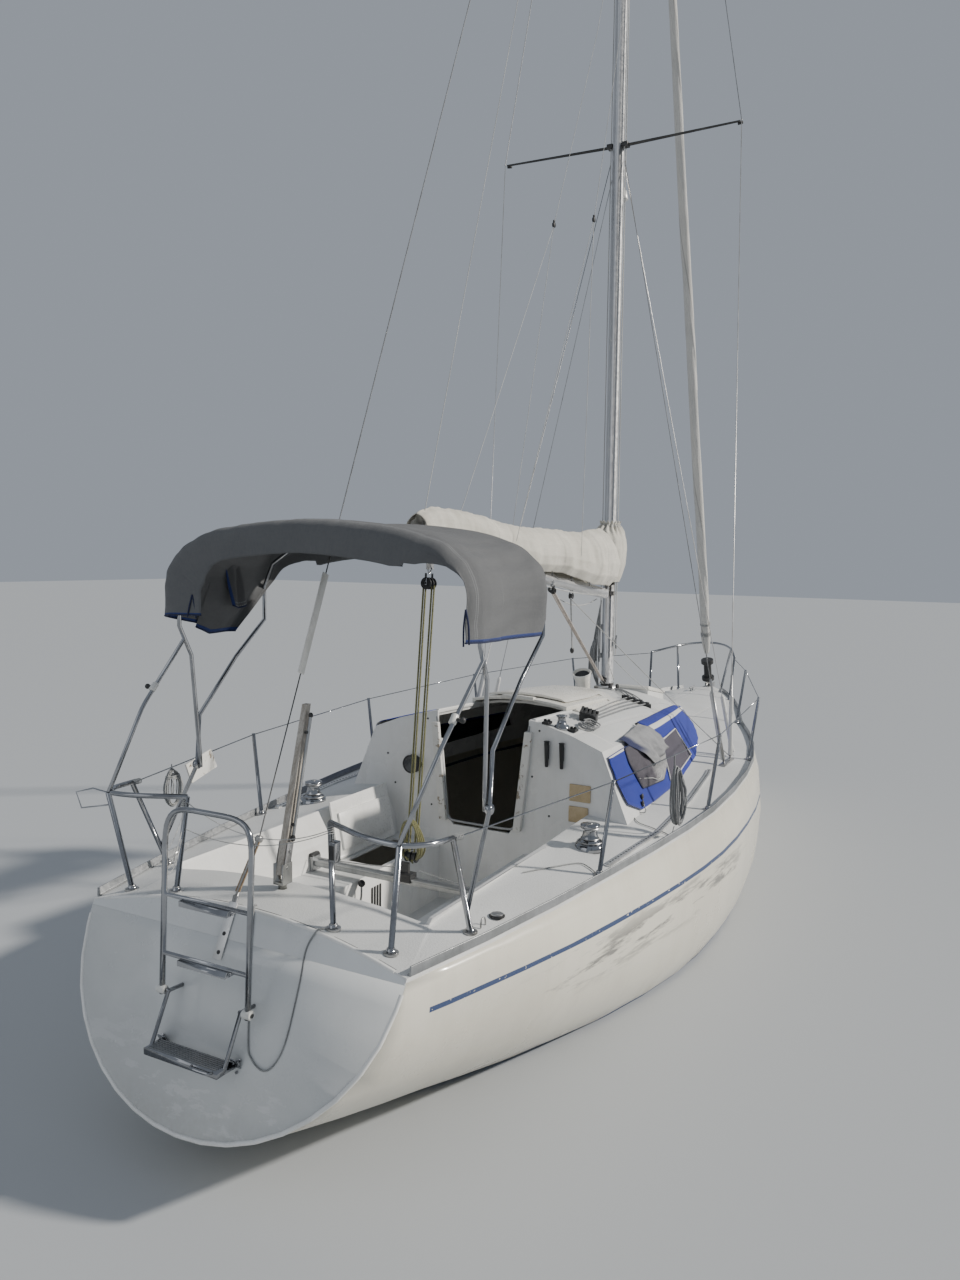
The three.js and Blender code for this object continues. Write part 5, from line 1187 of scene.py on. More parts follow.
def roll_marks(tree, colour, height):
    uv = coordinates(tree, "UV")
    way = plus(tree, maths(tree, "DIVIDE", uv[0], 0.26), times(tree, uv[1], 0.42))
    wound = maths(tree, "FRACT", way)
    strip = larger(tree, span(tree, wound, 0.30, 0.28), span(tree, wound, 0.97, 0.99))
    colour = tint(tree, colour, strip, 0.5, (0.62, 0.60, 0.55))
    edge = band(tree, wound, 0.985, 0.02, 0.01)
    colour = tint(tree, colour, edge, 0.6, (0.28, 0.27, 0.26))
    return colour, plus(tree, height, edge)


rolled = cloth_finish("rolled_sail", (0.66, 0.655, 0.63), (0.50, 0.50, 0.48), 900.0, (0.40, 0.38, 0.34), 0.3,
                      extra=roll_marks)
genoa = cloth("rolled_genoa", 40, 420, roll_place, (0.26, 9.62), [rolled], slot="sailcloth", thick=0.0,
              closed=True)
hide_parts("furled_genoa")
lash = []
for low, turns, sway in ((0.062, 4, 0.050), (0.074, 2, 0.051)):
    wound = []
    for k in range(turns * 10 + 1):
        off = STAY_SIDE * math.cos(k * 0.628) + STAY_OUT * math.sin(k * 0.628)
        wound.append(STAY_FOOT.lerp(STAY_HEAD, low + 0.0011 * k / 10) + off * (sway + 0.003))
    lash.append(smooth_run(wound, 0.012))
strands("genoa_lashing", lash, 0.004, grey_rope, fine=1)
bare_stay = [[STAY_FOOT.lerp(STAY_HEAD, t) for t in ends] for ends in ((0.0042, 0.05), (0.94, 0.9995))]
strands("genoa_stay", bare_stay, 0.004, worn_steel)


# Window covers: blue acrylic cloth hung over each cabin side, from a strip that lies on the roof
# edge. A white band runs along that edge, and the starboard one has a white piped mesh window.
# Cabin side: x, half width at its foot, half width and height of the roof's edge, height of the roof's middle
CABIN_FOOT_Z = 0.985
CABIN = [(-1.53, 0.975, 0.800, 1.412, 1.590), (-1.0, 0.968, 0.792, 1.400, 1.572),
         (-0.3, 0.938, 0.745, 1.378, 1.545), (0.4, 0.862, 0.655, 1.345, 1.500),
         (1.0, 0.742, 0.530, 1.290, 1.432), (1.5, 0.600, 0.400, 1.222, 1.345),
         (1.9, 0.450, 0.270, 1.158, 1.245), (2.18, 0.300, 0.170, 1.128, 1.168)]


def cabin_row(x):
    return [along(CABIN, x, i) for i in (1, 2, 3, 4)]


def cabin_side(x, t, out=0.0, side=1):
    foot, edge, edge_z, _ = cabin_row(x)
    y = foot * (1 - t) + edge * t
    return Vector((x, side * (y + out), CABIN_FOOT_Z + (edge_z - CABIN_FOOT_Z) * t + out * 0.4))


def roof_z(x, y):
    _, edge, edge_z, mid_z = cabin_row(x)
    return edge_z + (mid_z - edge_z) * (1 - (y / edge) ** 2)


# Window cover: x, how high its lower edge is as a share of the cabin side, and width of its strip on the roof
BLIND_AFT, BLIND_LENGTH, BLIND_OFF, BLIND_TURN = -1.50, 3.06, 0.0145, 0.80
COVER_HANG = [(-1.50, 0.62, 0.070), (-1.45, 0.26, 0.078), (-1.26, 0.09, 0.085), (-1.0, 0.08, 0.085),
              (-0.3, 0.07, 0.080), (0.4, 0.08, 0.070), (1.0, 0.10, 0.050), (1.48, 0.14, 0.025),
              (1.56, 0.50, 0.020)]


# x and height of the starboard cover's upper edge: it has no strip on the roof where the mesh bag hangs
COVER_TOP_EDGE = [(-1.50, 0.90), (-1.20, 0.93), (-0.70, 0.95), (-0.56, 0.97), (-0.55, 1.0)]


def window_cover_place(side):
    def place(u, v):
        x = BLIND_AFT + BLIND_LENGTH * u
        low, lip = along(COVER_HANG, x), along(COVER_HANG, x, 2)
        _, edge, edge_z, _ = cabin_row(x)
        top = 1.0 if side > 0 else along(COVER_TOP_EDGE, x)
        ripple = rough(x * 3.5, v * 2.5, 5 + side) * 0.004
        ripple += math.sin(x * 26) * 0.002 * (1 - v)
        if v < BLIND_TURN:
            t = low + (top - low) * v / BLIND_TURN
            spot = cabin_side(x, t, BLIND_OFF + ripple * (0.3 + v), side)
            spot.x += 0.004 * math.sin(v * 11 + x * 5)
            return spot
        share = (v - BLIND_TURN) / (1 - BLIND_TURN)
        if top < 0.99:
            return cabin_side(x, top + 0.01 * share, BLIND_OFF - 0.006 * share, side)
        y = edge + 0.0135 - share * (lip + 0.0135)
        lip_z = max(roof_z(x, edge - lip), edge_z + 0.39 * lip)
        z = edge_z + 0.012 + (lip_z - edge_z + 0.002) * share + 0.006 * math.sin(share * math.pi)
        return Vector((x, side * y, z + ripple * 0.4))

    return place


def window_cover_marks(tree, colour, height):
    uv = coordinates(tree, "UV")
    white = band(tree, uv[1], 0.405, 0.016, 0.001)
    colour = blend_colour(tree, white, colour, (0.68, 0.68, 0.66))
    thread = larger(tree, stitch_row(tree, uv[1], 0.386, uv[0]), stitch_row(tree, uv[1], 0.424, uv[0]))
    hem = larger(tree, stitch_row(tree, uv[1], 0.018, uv[0]), band(tree, uv[1], 0.003, 0.003))
    colour = blend_colour(tree, larger(tree, thread, times(tree, hem, 0.6)), colour, (0.10, 0.12, 0.35))
    return colour, plus(tree, height, times(tree, white, 2.0))


royal = cloth_finish("royal_blue_cloth", (0.004, 0.018, 0.26), (0.008, 0.028, 0.32), 800.0,
                     (0.02, 0.04, 0.30), 0.25, extra=window_cover_marks)
for name, side in (("port", 1), ("starboard", -1)):
    sheet("blind_" + name, 150, 40, window_cover_place(side), (3.1, 0.50), royal, "hung", ["deck_moulding"],
          "window_cover_" + name, thick=0.0025)


def blind_spot(x, t, out=0.018):
    """A point just proud of the starboard window cover."""
    return cabin_side(x, t, out, -1)


def side_t(x, z):
    _, _, edge_z, _ = cabin_row(x)
    return (z - CABIN_FOOT_Z) / (edge_z - CABIN_FOOT_Z)


NET_WINDOW = [(-0.426, 1.293), (0.146, 1.281), (0.261, 1.076), (-0.562, 1.056)]


def net_place(u, v):
    (x0, z0), (x1, z1), (x2, z2), (x3, z3) = NET_WINDOW
    top = Vector((x0 + (x1 - x0) * u, z0 + (z1 - z0) * u))
    low = Vector((x3 + (x2 - x3) * u, z3 + (z2 - z3) * u))
    spot = low.lerp(top, v)
    return blind_spot(spot.x, side_t(spot.x, spot.y),
                      0.0185 + 0.002 * math.sin(u * math.pi) * math.sin(v * math.pi))


def net_marks(tree, colour, height):
    uv = coordinates(tree, "UV")
    grid = 0.0
    for value in (uv[0], uv[1]):
        cell = maths(tree, "FRACT", maths(tree, "DIVIDE", value, 0.011))
        grid = larger(tree, grid, band(tree, cell, 0.5, 0.09, 0.05))
    return tint(tree, colour, grid, 0.8, (0.025, 0.024, 0.034)), plus(tree, height, grid)


violet_net = cloth_finish("window_net", (0.090, 0.080, 0.112), (0.060, 0.053, 0.076), 900.0, extra=net_marks)
sheet("blind_net", 40, 24, net_place, (0.70, 0.23), violet_net, "stretched", ["blind_starboard"],
      thick=0.0012)


def border(place, across, down):
    """Places all round the edge of a sheet, back to its first corner."""
    spots = [(k / across, 0) for k in range(across + 1)] + [(1, k / down) for k in range(1, down + 1)]
    spots += [(1 - k / across, 1) for k in range(1, across + 1)] + [(0, 1 - k / down)
                                                                    for k in range(1, down + 1)]
    return [place(u, v) for u, v in spots]


piping = [even_run([p + Vector((0, -0.002, 0.001)) for p in border(net_place, 20, 8)], 0.012)]
strands("blind_piping", piping, 0.0052, cloth_finish("white_piping", (0.70, 0.70, 0.68), (0.55, 0.55, 0.53)),
        slot="blue_cloth", fine=1)


# Mesh bag: grey net sewn on the starboard window cover, full and sagging, under a pale grey flap
# that is clipped to the roof edge. A white cord ties it across the bottom.
BAG = [(-1.215, 0.93), (-0.90, 0.95), (-0.385, 0.71), (-0.493, 0.43), (-0.696, 0.25), (-1.148, 0.33),
       (-1.225, 0.73)]
BAG_MIDDLE = Vector((-0.86, 0.60))


def bag_rim(angle):
    way = Vector((math.cos(angle), math.sin(angle)))
    best = 0.01
    for a, b in zip(BAG, BAG[1:] + BAG[:1]):
        a, b = Vector(a) - BAG_MIDDLE, Vector(b) - BAG_MIDDLE
        edge = b - a
        cross = way.x * edge.y - way.y * edge.x
        if abs(cross) > 1e-9:
            reach = (a.x * edge.y - a.y * edge.x) / cross
            part = (a.x * way.y - a.y * way.x) / cross
            if reach > 0 and -0.001 <= part <= 1.001:
                best = max(best, reach)
    return best


def bag_place(u, v):
    a, b = 2 * u - 1, 2 * v - 1
    reach = max(abs(a), abs(b))
    angle = math.atan2(b, a)
    spot = BAG_MIDDLE + Vector((math.cos(angle), math.sin(angle))) * bag_rim(angle) * reach
    full = (1 - reach**2.2) ** 0.7
    heavy = 1 + 0.45 * ease(0.62 - spot.y, -0.2, 0.3)
    crease = rough(spot.x * 9, spot.y * 7, 2.2) * 0.012 * full
    crease += abs(rough(spot.x * 20, spot.y * 9, 5.2)) * 0.010 * full
    pleat = math.atan2((spot.y - 0.62) * 0.4, spot.x + 0.80)
    crease += 0.0045 * math.sin(pleat * 15) * full * ease(spot.x, -1.0, -0.75) * ease(reach, 0.15, 0.6)
    return blind_spot(spot.x, spot.y, 0.0205 + 0.021 * full * heavy + crease)


def bag_marks(tree, colour, height):
    uv = coordinates(tree, "UV")
    wavy = put(tree, "TexNoise", {"Vector": put(tree, "TexCoord").outputs["UV"], "Scale": 9.0,
                                  "Detail": 3.0}).outputs[0]
    seen_through = span(tree, plus(tree, uv[0], times(tree, wavy, 0.16)), 0.40, 0.56)
    holes = put(tree, "TexVoronoi", {"Vector": put(tree, "TexCoord").outputs["UV"], "Scale": 150.0})
    net = span(tree, holes.outputs["Distance"], 0.2, 0.5)
    dark = blend_colour(tree, net, (0.030, 0.027, 0.036), (0.075, 0.068, 0.085))
    pale = blend_colour(tree, net, (0.17, 0.17, 0.175), (0.34, 0.34, 0.345))
    mixed = blend_colour(tree, seen_through, dark, pale)
    return mixed, plus(tree, height, times(tree, net, 1.5))


bag_net = cloth_finish("bag_net", (0.3, 0.3, 0.3), (0.25, 0.25, 0.25), 600.0, extra=bag_marks)
sheet("roof_bag", 48, 40, bag_place, (0.85, 0.32), bag_net, "hung", ["blind_starboard"], "mesh_bag",
      area=0.24, thick=0.0018)
strands("bag_edge", [even_run(border(bag_place, 24, 20), 0.012)], BINDING, navy_binding, fine=1)
tie = [bag_place(0.02, 0.30), bag_place(0.25, 0.16) + Vector((0, -0.006, 0)),
       bag_place(0.55, 0.12) + Vector((0, -0.006, -0.01)), bag_place(0.98, 0.35)]
strands("bag_cord", [smooth_run(tie, 0.01)], 0.003, white_line, fine=1)
# Corners of the flap: x along the cabin and height on its side, where over 1 is on the roof
FLAP_CORNERS = (Vector((-1.20, 1.05)), Vector((-0.62, 1.16)), Vector((-0.43, 0.66)), Vector((-0.86, 0.52)))


def flap_place(u, v):
    left, right, low_right, low_left = FLAP_CORNERS
    spot = left.lerp(right, u).lerp(low_left.lerp(low_right, u), v)
    fold = rough(u * 2.6 + v * 1.2, v * 2.2, 6.4) * 0.022
    fold += abs(rough(u * 6 - v * 3, v * 4 + u * 2, 1.9)) * 0.020
    out = 0.026 + 0.034 * ease(v, 0.1, 0.75) + fold * (0.3 + 0.7 * v) + 0.006 * math.sin(u * 19 + v * 4) * v
    if spot.y <= 1:
        return cabin_side(spot.x, spot.y, out, -1)
    edge_y = cabin_side(spot.x, 1.0, 0.0, -1).y
    y = edge_y + (spot.y - 1) * 0.40
    return Vector((spot.x, y - out * 0.4, roof_z(spot.x, y) + out * 0.8))


def flap_marks(tree, colour, height):
    uv = coordinates(tree, "UV")
    navy = times(tree, span(tree, uv[0], 0.13, 0.08), span(tree, uv[1], 0.20, 0.12))
    hem = larger(tree, band(tree, uv[1], 0.292, 0.005), band(tree, uv[0], 0.535, 0.005))
    colour = blend_colour(tree, navy, colour, (0.012, 0.018, 0.075))
    return tint(tree, colour, hem, 0.6, (0.10, 0.10, 0.11)), height


flap_cloth = cloth_finish("flap_cloth", (0.34, 0.345, 0.355), (0.22, 0.225, 0.235), 900.0, (0.16, 0.16, 0.17),
                          0.35, 6.0, extra=flap_marks)
sheet("bag_flap", 44, 30, flap_place, (0.54, 0.30), flap_cloth, "hung", ["roof_bag"])
bm = bmesh.new()
clip = Vector((-0.60, -0.700, 1.432))
add_block(bm, clip, (0.032, 0.020, 0.012), 0.003)
sweep(bm, smooth_run([clip, clip + Vector((0, -0.035, -0.03)), clip + Vector((0.0, -0.065, -0.075))], 0.01),
      0.004, 1)
add_piece("bag_clip", bm, [black])


# Mainsheet and vang: four parts of olive rope between a black double block under the boom and the
# traveller car, and three of beige rope from the boom to the foot of the mast. Their blocks turn with the
# boom at one end and stay with the hull at the other.
def sagging(a, b, sag=0.0, step=0.03):
    a, b = Vector(a), Vector(b)
    count = max(2, round((b - a).length / step))
    return [a.lerp(b, k / count) - Vector((0, 0, sag * 4 * (k / count) * (1 - k / count)))
            for k in range(count + 1)]


def angles(half):
    """Angles once round a circle, with a number of them in each half."""
    return [k * math.pi / half for k in range(2 * half + 1)]


def block_sheaves(name, centre, way, body, half=0.026, length=0.085, wide=0.034, count=2):
    """A black pulley block with steel side straps, hung along a direction."""
    centre, way = Vector(centre), Vector(way).normalized()
    turn = way.to_track_quat("Z", "Y").to_matrix()
    bm = bmesh.new()
    for k in range(count + 1):
        y = -wide / 2 + wide * k / count
        plate = centre + turn @ Vector((0, y, 0))
        add_drum(bm, plate - turn @ Vector((0, 0.003, 0)), plate + turn @ Vector((0, 0.003, 0)), half,
                 sides=22, round_off=0.001)
    for k in range(count):
        y = -wide / 2 + wide * (k + 0.5) / count
        plate = centre + turn @ Vector((0, y, 0))
        reach = wide / count * 0.32
        add_drum(bm, plate - turn @ Vector((0, reach, 0)), plate + turn @ Vector((0, reach, 0)), half * 0.72,
                 sides=18)
    add_drum(bm, centre - turn @ Vector((0, wide * 0.62, 0)), centre + turn @ Vector((0, wide * 0.62, 0)),
             0.006, sides=10, material=1)
    for y in (-wide * 0.58, wide * 0.58):
        add_block(bm, centre + turn @ Vector((0, y, length * 0.24)), (0.014, 0.002, length * 0.66), 0.0006,
                  turn, 1)
    loop = [centre + turn @ Vector((0, math.sin(t) * 0.012, length * 0.56 + 0.016 * (1 - math.cos(t))))
            for t in angles(6)]
    sweep(bm, loop, 0.003, 1, 1)
    return add_piece(name, bm, [black, steel], body)


def lead_to_boom(piece):
    """Bake the piece's place into its mesh. It rides on no body."""
    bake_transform(piece)


sheet_parts = []
for top_y, low_y in ((0.042, -0.014), (0.027, -0.030), (-0.012, -0.062), (-0.028, -0.078)):
    sheet_parts.append(sagging((-2.186, top_y, 2.385), (-2.424, low_y, 0.930), 0.004))
mainsheet = strands("mainsheet", sheet_parts, 0.0055, olive_rope, body=None)
lead_to_boom(mainsheet)
block_sheaves("mainsheet_block", (-2.188, 0.007, 2.395), (0.05, 0, 1), "boom", 0.034, 0.10, 0.060)
bm = bmesh.new()
sweep(bm, smooth_run([(-2.190, 0.007, 2.452), (-2.190, 0.012, 2.472), (-2.190, 0, 2.492),
                      (-2.190, -0.012, 2.472), (-2.190, 0.007, 2.452)], 0.006), 0.0035, 1)
add_piece("mainsheet_shackle", bm, [steel], "boom")
block_sheaves("car_block", (-2.424, -0.046, 0.905), (0, 0, 1), "hull", 0.030, 0.08, 0.060)

vang_parts = [sagging((-0.570, y, 2.312), (0.530, y * 0.6, 1.552), 0.006) for y in (-0.052, -0.040, -0.026)]
vang = strands("vang_parts", vang_parts, 0.005, beige_rope, body=None)
lead_to_boom(vang)
block_sheaves("vang_block_top", (-0.575, -0.040, 2.318), (0.3, 0, 1), "boom", 0.024, 0.07, 0.040)
block_sheaves("vang_block_foot", (0.545, -0.024, 1.552), (-0.7, 0, 0.5), "hull", 0.024, 0.07, 0.040)
block_sheaves("boom_block", (-0.134, -0.004, 2.262), (0, 0, 1), "boom", 0.022, 0.06, 0.022, 1)
boom_tails = [sagging((-0.134, -0.004, 2.24), (-0.100, -0.01, 1.850), 0.0),
              sagging((-0.128, 0.004, 2.24), (-0.086, 0.00, 1.862), 0.0)]
strands("boom_tails", boom_tails, 0.004, white_line, body="boom")
bm = bmesh.new()
add_ball(bm, (-0.094, -0.005, 1.850), 0.016, (1, 1, 1.5))
add_piece("boom_tail_stopper", bm, [black], "boom")
reef_lines = [sagging((-1.30, -0.044, 2.452), (0.45, -0.046, 2.250), 0.035),
              sagging((-0.482, 0.046, 2.330), (0.511, 0.040, 2.216), 0.085)]
strands("reef_line", reef_lines, 0.004, white_line, body="boom")
preventer_run = sagging((-0.134, -0.006, 2.235), (0.535, -1.074, 1.045), 0.01)
preventer = strands("preventer", [preventer_run], 0.0034, white_line, body=None)
lead_to_boom(preventer)
mast_lines = [sagging((0.560, -0.055, 1.700), (0.560, -0.110, 1.560), 0.0),
              sagging((0.712, 0.050, 1.800), (0.980, -0.250, 1.440), 0.01)]
strands("mast_lines", mast_lines, 0.0032, white_line, fine=1)
halyard_parts = [smooth_run([(0.668, 0.058, 2.200), (0.690, 0.078 + 0.011 * k, 1.950 - 0.020 * k),
                             (0.694, 0.080 + 0.013 * k, 1.620), (0.668, 0.066, 1.470)], 0.012)
                             for k in range(5)]
strands("halyard_parts", halyard_parts, 0.0042, pale_rope, fine=1)


# Lazy jacks, topping lift and halyards: thin lines from the mast that hold the cover and the boom,
# with small black blocks where they part, and the halyards beside the mast.
PORT_FORK, STARBOARD_FORK = (-0.346, 0.110, 4.896), (-0.128, -0.105, 4.967)
JACKS = [
    [(0.600, 0.050, 7.500), (0.298, 0.075, 6.484), PORT_FORK],
    [(0.605, -0.050, 7.500), (0.456, -0.060, 6.611), STARBOARD_FORK],
    [PORT_FORK, (-1.733, 0.105, 2.690)],
    [PORT_FORK, (-0.928, 0.125, 2.600)],
    [STARBOARD_FORK, (-1.318, -0.112, 2.650)],
    [STARBOARD_FORK, (-0.279, -0.135, 2.560)],
]
jack_runs = [[p for a, b in zip(points, points[1:]) for p in sagging(a, b, 0.0, 0.08)] for points in JACKS]
jacks = strands("lazy_jacks", jack_runs, 0.0022, white_line, body=None, fine=1)
lead_to_boom(jacks)
jack_knots = bmesh.new()
for x, y, z in (PORT_FORK, STARBOARD_FORK):
    add_drum(jack_knots, (x, y - 0.008, z), (x, y + 0.008, z), 0.018, sides=16, round_off=0.002)
    add_block(jack_knots, (x, y, z + 0.022), (0.012, 0.014, 0.024), 0.002)
knots = add_piece("jack_blocks", jack_knots, [black], None)
lead_to_boom(knots)
LIFT_MIDDLE = (-1.214, 0.0, 5.959)
lift_run = sagging((-2.305, 0.0, 2.625), LIFT_MIDDLE, 0.0, 0.1)
lift_run += sagging(LIFT_MIDDLE, (0.44, 0.0, 11.02), 0.0, 0.1)[1:]
lift = strands("topping_lift", [lift_run], 0.0025, white_line, body=None, fine=1)
lead_to_boom(lift)
halyards = []
for off, y in ((-0.030, -0.060), (0.010, -0.063), (0.030, 0.061), (-0.020, 0.062)):
    foot, head = (mast_x(1.75) + off, y, 1.75), (mast_x(10.9) + off * 0.6, y * 0.8, 10.90)
    halyards.append(sagging(foot, head, 0.0, 0.3))
strands("halyards", halyards, 0.0042, white_line, fine=1)
cleats = bmesh.new()
for y, z in ((0.056, 1.98), (-0.056, 1.86), (0.056, 1.74)):
    side = 1 if y > 0 else -1
    x = mast_x(z)
    add_block(cleats, (x, y + side * 0.004, z), (0.030, 0.016, 0.040), 0.003)
    sweep(cleats, smooth_run([(x, y + side * 0.018, z - 0.055), (x, y + side * 0.013, z),
                              (x, y + side * 0.018, z + 0.055)],
                             0.01), 0.006, 1)
add_piece("mast_cleats", cleats, [alloy])
halyard_levels = [(0.640, 0.118, 1.560, 0.040), (0.640, 0.118, 1.620, 0.062), (0.640, 0.112, 1.740, 0.060),
                  (0.645, 0.098, 1.880, 0.042), (0.650, 0.086, 1.960, 0.036)]
HALYARD_START, HALYARD_THICK = (0.660, 0.074, 1.975), 0.009
halyard_run = coil_run(HALYARD_START, halyard_levels, 7, 0.062, 0.026, HALYARD_THICK, 3, (1, 0.25, 0))
halyard_coil = strands("halyard_coil", [halyard_run], HALYARD_THICK / 2, pale_rope)
declare_coil(halyard_run, HALYARD_START, HALYARD_THICK)


# Standing rigging details: forward lower shrouds, white plastic covers over the rigging screws,
# terminals at the spreader roots, and the deck light on the front of the mast.
FORWARD_LOWER = ((0.640, 1.075, 1.030), (mast_x(5.60) + 0.030, 0.046, 5.600))
strands("forward_lowers", [[(x, s * y, z) for x, y, z in FORWARD_LOWER] for s in (1, -1)], 0.0028, worn_steel,
        fine=1)
covers = bmesh.new()
# Foot and top of each port shroud, and how high its cover reaches
COVERED = (((0.313, 1.080, 1.030), (0.560, 0.046, 5.60), 0.53),
           ((0.530, 1.078, 1.030), (0.625, 0.955, 5.765), 0.48), (*FORWARD_LOWER, 0.46))
for s in (1, -1):
    for foot, top, height in COVERED:
        foot, top = [Vector((x, s * y, z)) for x, y, z in (foot, top)]
        way = (top - foot).normalized()
        add_drum(covers, foot + way * 0.03, foot + way * height, 0.0175, 0.0165, sides=18, round_off=0.002)
        add_drum(covers, foot + way * height, foot + way * (height + 0.02), 0.0165, 0.006, sides=18)
white_plastic = gloss_finish("white_plastic", (0.78, 0.78, 0.75), (0.64, 0.64, 0.60), 8.0)
add_piece("screw_covers", covers, [white_plastic])
SPREADER_Z = 5.765
roots = bmesh.new()
for s in (1, -1):
    x = mast_x(SPREADER_Z) - 0.01
    add_block(roots, (x, s * 0.062, SPREADER_Z), (0.070, 0.050, 0.034), 0.006)
    add_drum(roots, (x, s * 0.930, SPREADER_Z), (x, s * 0.968, SPREADER_Z), 0.014, 0.010,
             sides=14, round_off=0.003)
add_piece("spreader_roots", roots, [black])
light = bmesh.new()
LIGHT_Z = 5.45
front = mast_x(LIGHT_Z) + 0.064
add_block(light, (front + 0.014, 0, LIGHT_Z), (0.030, 0.050, 0.070), 0.008)
add_drum(light, (front + 0.055, 0, 5.470), (front + 0.050, 0, 5.400), 0.030, 0.046, sides=22, round_off=0.004)
add_ball(light, (front + 0.052, 0, 5.402), 0.036, (1, 1, 0.5))
add_piece("deck_light", light, [white_plastic])


# Mast foot: a black collar band, turning blocks and the lines that lead from them over the roof,
# through the organizer to the clutches.
band_piece = bmesh.new()
for z in (BOOM_Z, 1.500):
    ring = [Vector((mast_x(z) + 0.0655 * math.cos(t), 0.0475 * math.sin(t), z)) for t in angles(16)]
    for dz in (-0.012, -0.004, 0.004, 0.012):
        sweep(band_piece, [p + Vector((0, 0, dz)) for p in ring], 0.005, 1)
add_piece("mast_bands", band_piece, [black])
feet = bmesh.new()
for x, y in ((0.600, -0.125), (0.560, -0.080)):
    z = roof_z(x, y) + 0.030
    add_drum(feet, (x, y - 0.010, z), (x, y + 0.010, z), 0.024, sides=18, round_off=0.003)
    add_block(feet, (x, y, z - 0.020), (0.034, 0.026, 0.016), 0.004, material=1)
add_piece("foot_blocks", feet, [black, steel])


def roof_run(points, lift=0.006):
    """A line laid over the cabin roof."""
    path = even_run([Vector((x, y, 0)) for x, y in points], 0.02)
    return [Vector((p.x, p.y, roof_z(p.x, p.y) + lift)) for p in path]


roof_lines = []
for k, off in enumerate((-0.07, -0.025, 0.02, 0.065)):
    organizer = (0.200 - off * 0.29, -0.425 + off)
    clutch = (-0.945 + 0.28 * off, -0.505 + off * 0.6)
    roof_lines.append(roof_run([(0.600 - 0.012 * k, -0.150 + 0.012 * k), organizer], 0.018))
    roof_lines.append(roof_run([organizer, clutch], 0.018))
strands("roof_lines", roof_lines, 0.0045, pale_rope, fine=1)
sheaves = bmesh.new()
for off in (-0.075, -0.025, 0.025, 0.075):
    x, y = 0.200 - off * 0.29, -0.425 + off
    z = roof_z(x, y)
    add_drum(sheaves, (x, y, z + 0.020), (x, y, z + 0.031), 0.021, sides=18, round_off=0.002)
    add_drum(sheaves, (x, y, z + 0.030), (x, y, z + 0.034), 0.007, sides=10, material=1)
add_piece("organizer_sheaves", sheaves, [black, steel])
levers = bmesh.new()
turn = Matrix.Rotation(0.28, 3, "Z")
for k in range(4):
    off = turn @ Vector((0.0, -0.038 + 0.0255 * k, 0))
    x, y = -1.015 + off.x, -0.510 + off.y
    z = roof_z(x, y) + 0.052
    tilt = turn @ Matrix.Rotation(-0.16, 3, "Y")
    add_block(levers, (x - 0.008, y, z + 0.007), (0.112, 0.017, 0.012), 0.003, tilt)
    add_block(levers, (x - 0.072, y - 0.018, z + 0.004), (0.040, 0.015, 0.008), 0.003, tilt)
    add_drum(levers, (x + 0.045, y - 0.010, z + 0.002), (x + 0.045, y + 0.010, z + 0.002), 0.012, sides=14)
add_piece("clutch_levers", levers, [black])
pile = []
for k in range(76):
    angle = k * 0.36
    reach = 0.055 + 0.022 * math.sin(k * 0.31) + 0.006 * math.sin(k * 1.7)
    x, y = -1.205 + reach * math.cos(angle) * 1.25, -0.590 + reach * math.sin(angle) * 0.8
    pile.append(Vector((x, y, roof_z(x, y) + 0.006 + 0.0092 * int(angle / (2 * math.pi))
                        + 0.004 * (angle % 6.283) / 6.283)))
pile_run = smooth_run([Vector((-1.096, -0.552, roof_z(-1.096, -0.552) + 0.020)), *pile], 0.009)
pile_run = relax(pile_run, 0.022, 0.009)
rope_pile = strands("clutch_tails", [pile_run], 0.0045, pale_rope)
declare_coil(pile_run, tuple(pile_run[0]), HALYARD_THICK)
cams = bmesh.new()
for x, y in ((-1.500, -0.430), (-1.430, -0.575)):
    z = roof_z(x, y)
    add_block(cams, (x, y, z + 0.010), (0.062, 0.046, 0.018), 0.004)
    for s in (1, -1):
        add_drum(cams, (x, y + s * 0.012, z + 0.018), (x, y + s * 0.012, z + 0.032), 0.011, 0.009, sides=14)
add_piece("cam_cleats", cams, [black])
cowl_inside = bmesh.new()
cowl_z = roof_z(0.560, 0.160)
add_drum(cowl_inside, (0.552, 0.160, cowl_z + 0.086), (0.536, 0.160, cowl_z + 0.112), 0.050, 0.062, sides=28)
add_piece("cowl_inside", cowl_inside, [black])
cowl_turn = Matrix.Rotation(-0.40, 3, "Y")
cowl_mouth = Vector((0.530, 0.160, cowl_z + 0.131))
rim = [cowl_mouth + cowl_turn @ Vector((0.075 * math.cos(t), 0.075 * math.sin(t), 0)) for t in angles(16)]
bm = bmesh.new()
sweep(bm, rim, 0.0055, 2)
add_piece("cowl_rim", bm, [white_plastic])


# Bulkhead: holders for winch handles, two worn tan pads, screw heads, the trim round the
# companionway and the rim of the round instrument.
WALL_X = -1.530
bulk = bmesh.new()
for y, top in ((-0.454, 1.436), (-0.552, 1.434)):
    add_drum(bulk, (WALL_X - 0.024, y, top), (WALL_X - 0.018, y, top - 0.150), 0.0155, 0.0105, sides=18,
             round_off=0.003)
    add_block(bulk, (WALL_X - 0.008, y, top - 0.06), (0.014, 0.020, 0.085), 0.003)
    add_drum(bulk, (WALL_X - 0.024, y, top + 0.002), (WALL_X - 0.024, y, top + 0.010), 0.018, sides=18,
             round_off=0.003)
for y, z in ((-0.352, 1.210), (0.395, 1.500), (-0.395, 1.498), (-0.470, 0.980), (0.360, 0.940),
             (0.640, 1.050), (0.700, 1.240)):
    add_drum(bulk, (WALL_X + 0.001, y, z), (WALL_X - 0.003, y, z), 0.0065, sides=12)
add_piece("handle_holders", bulk, [black])
pads = bmesh.new()
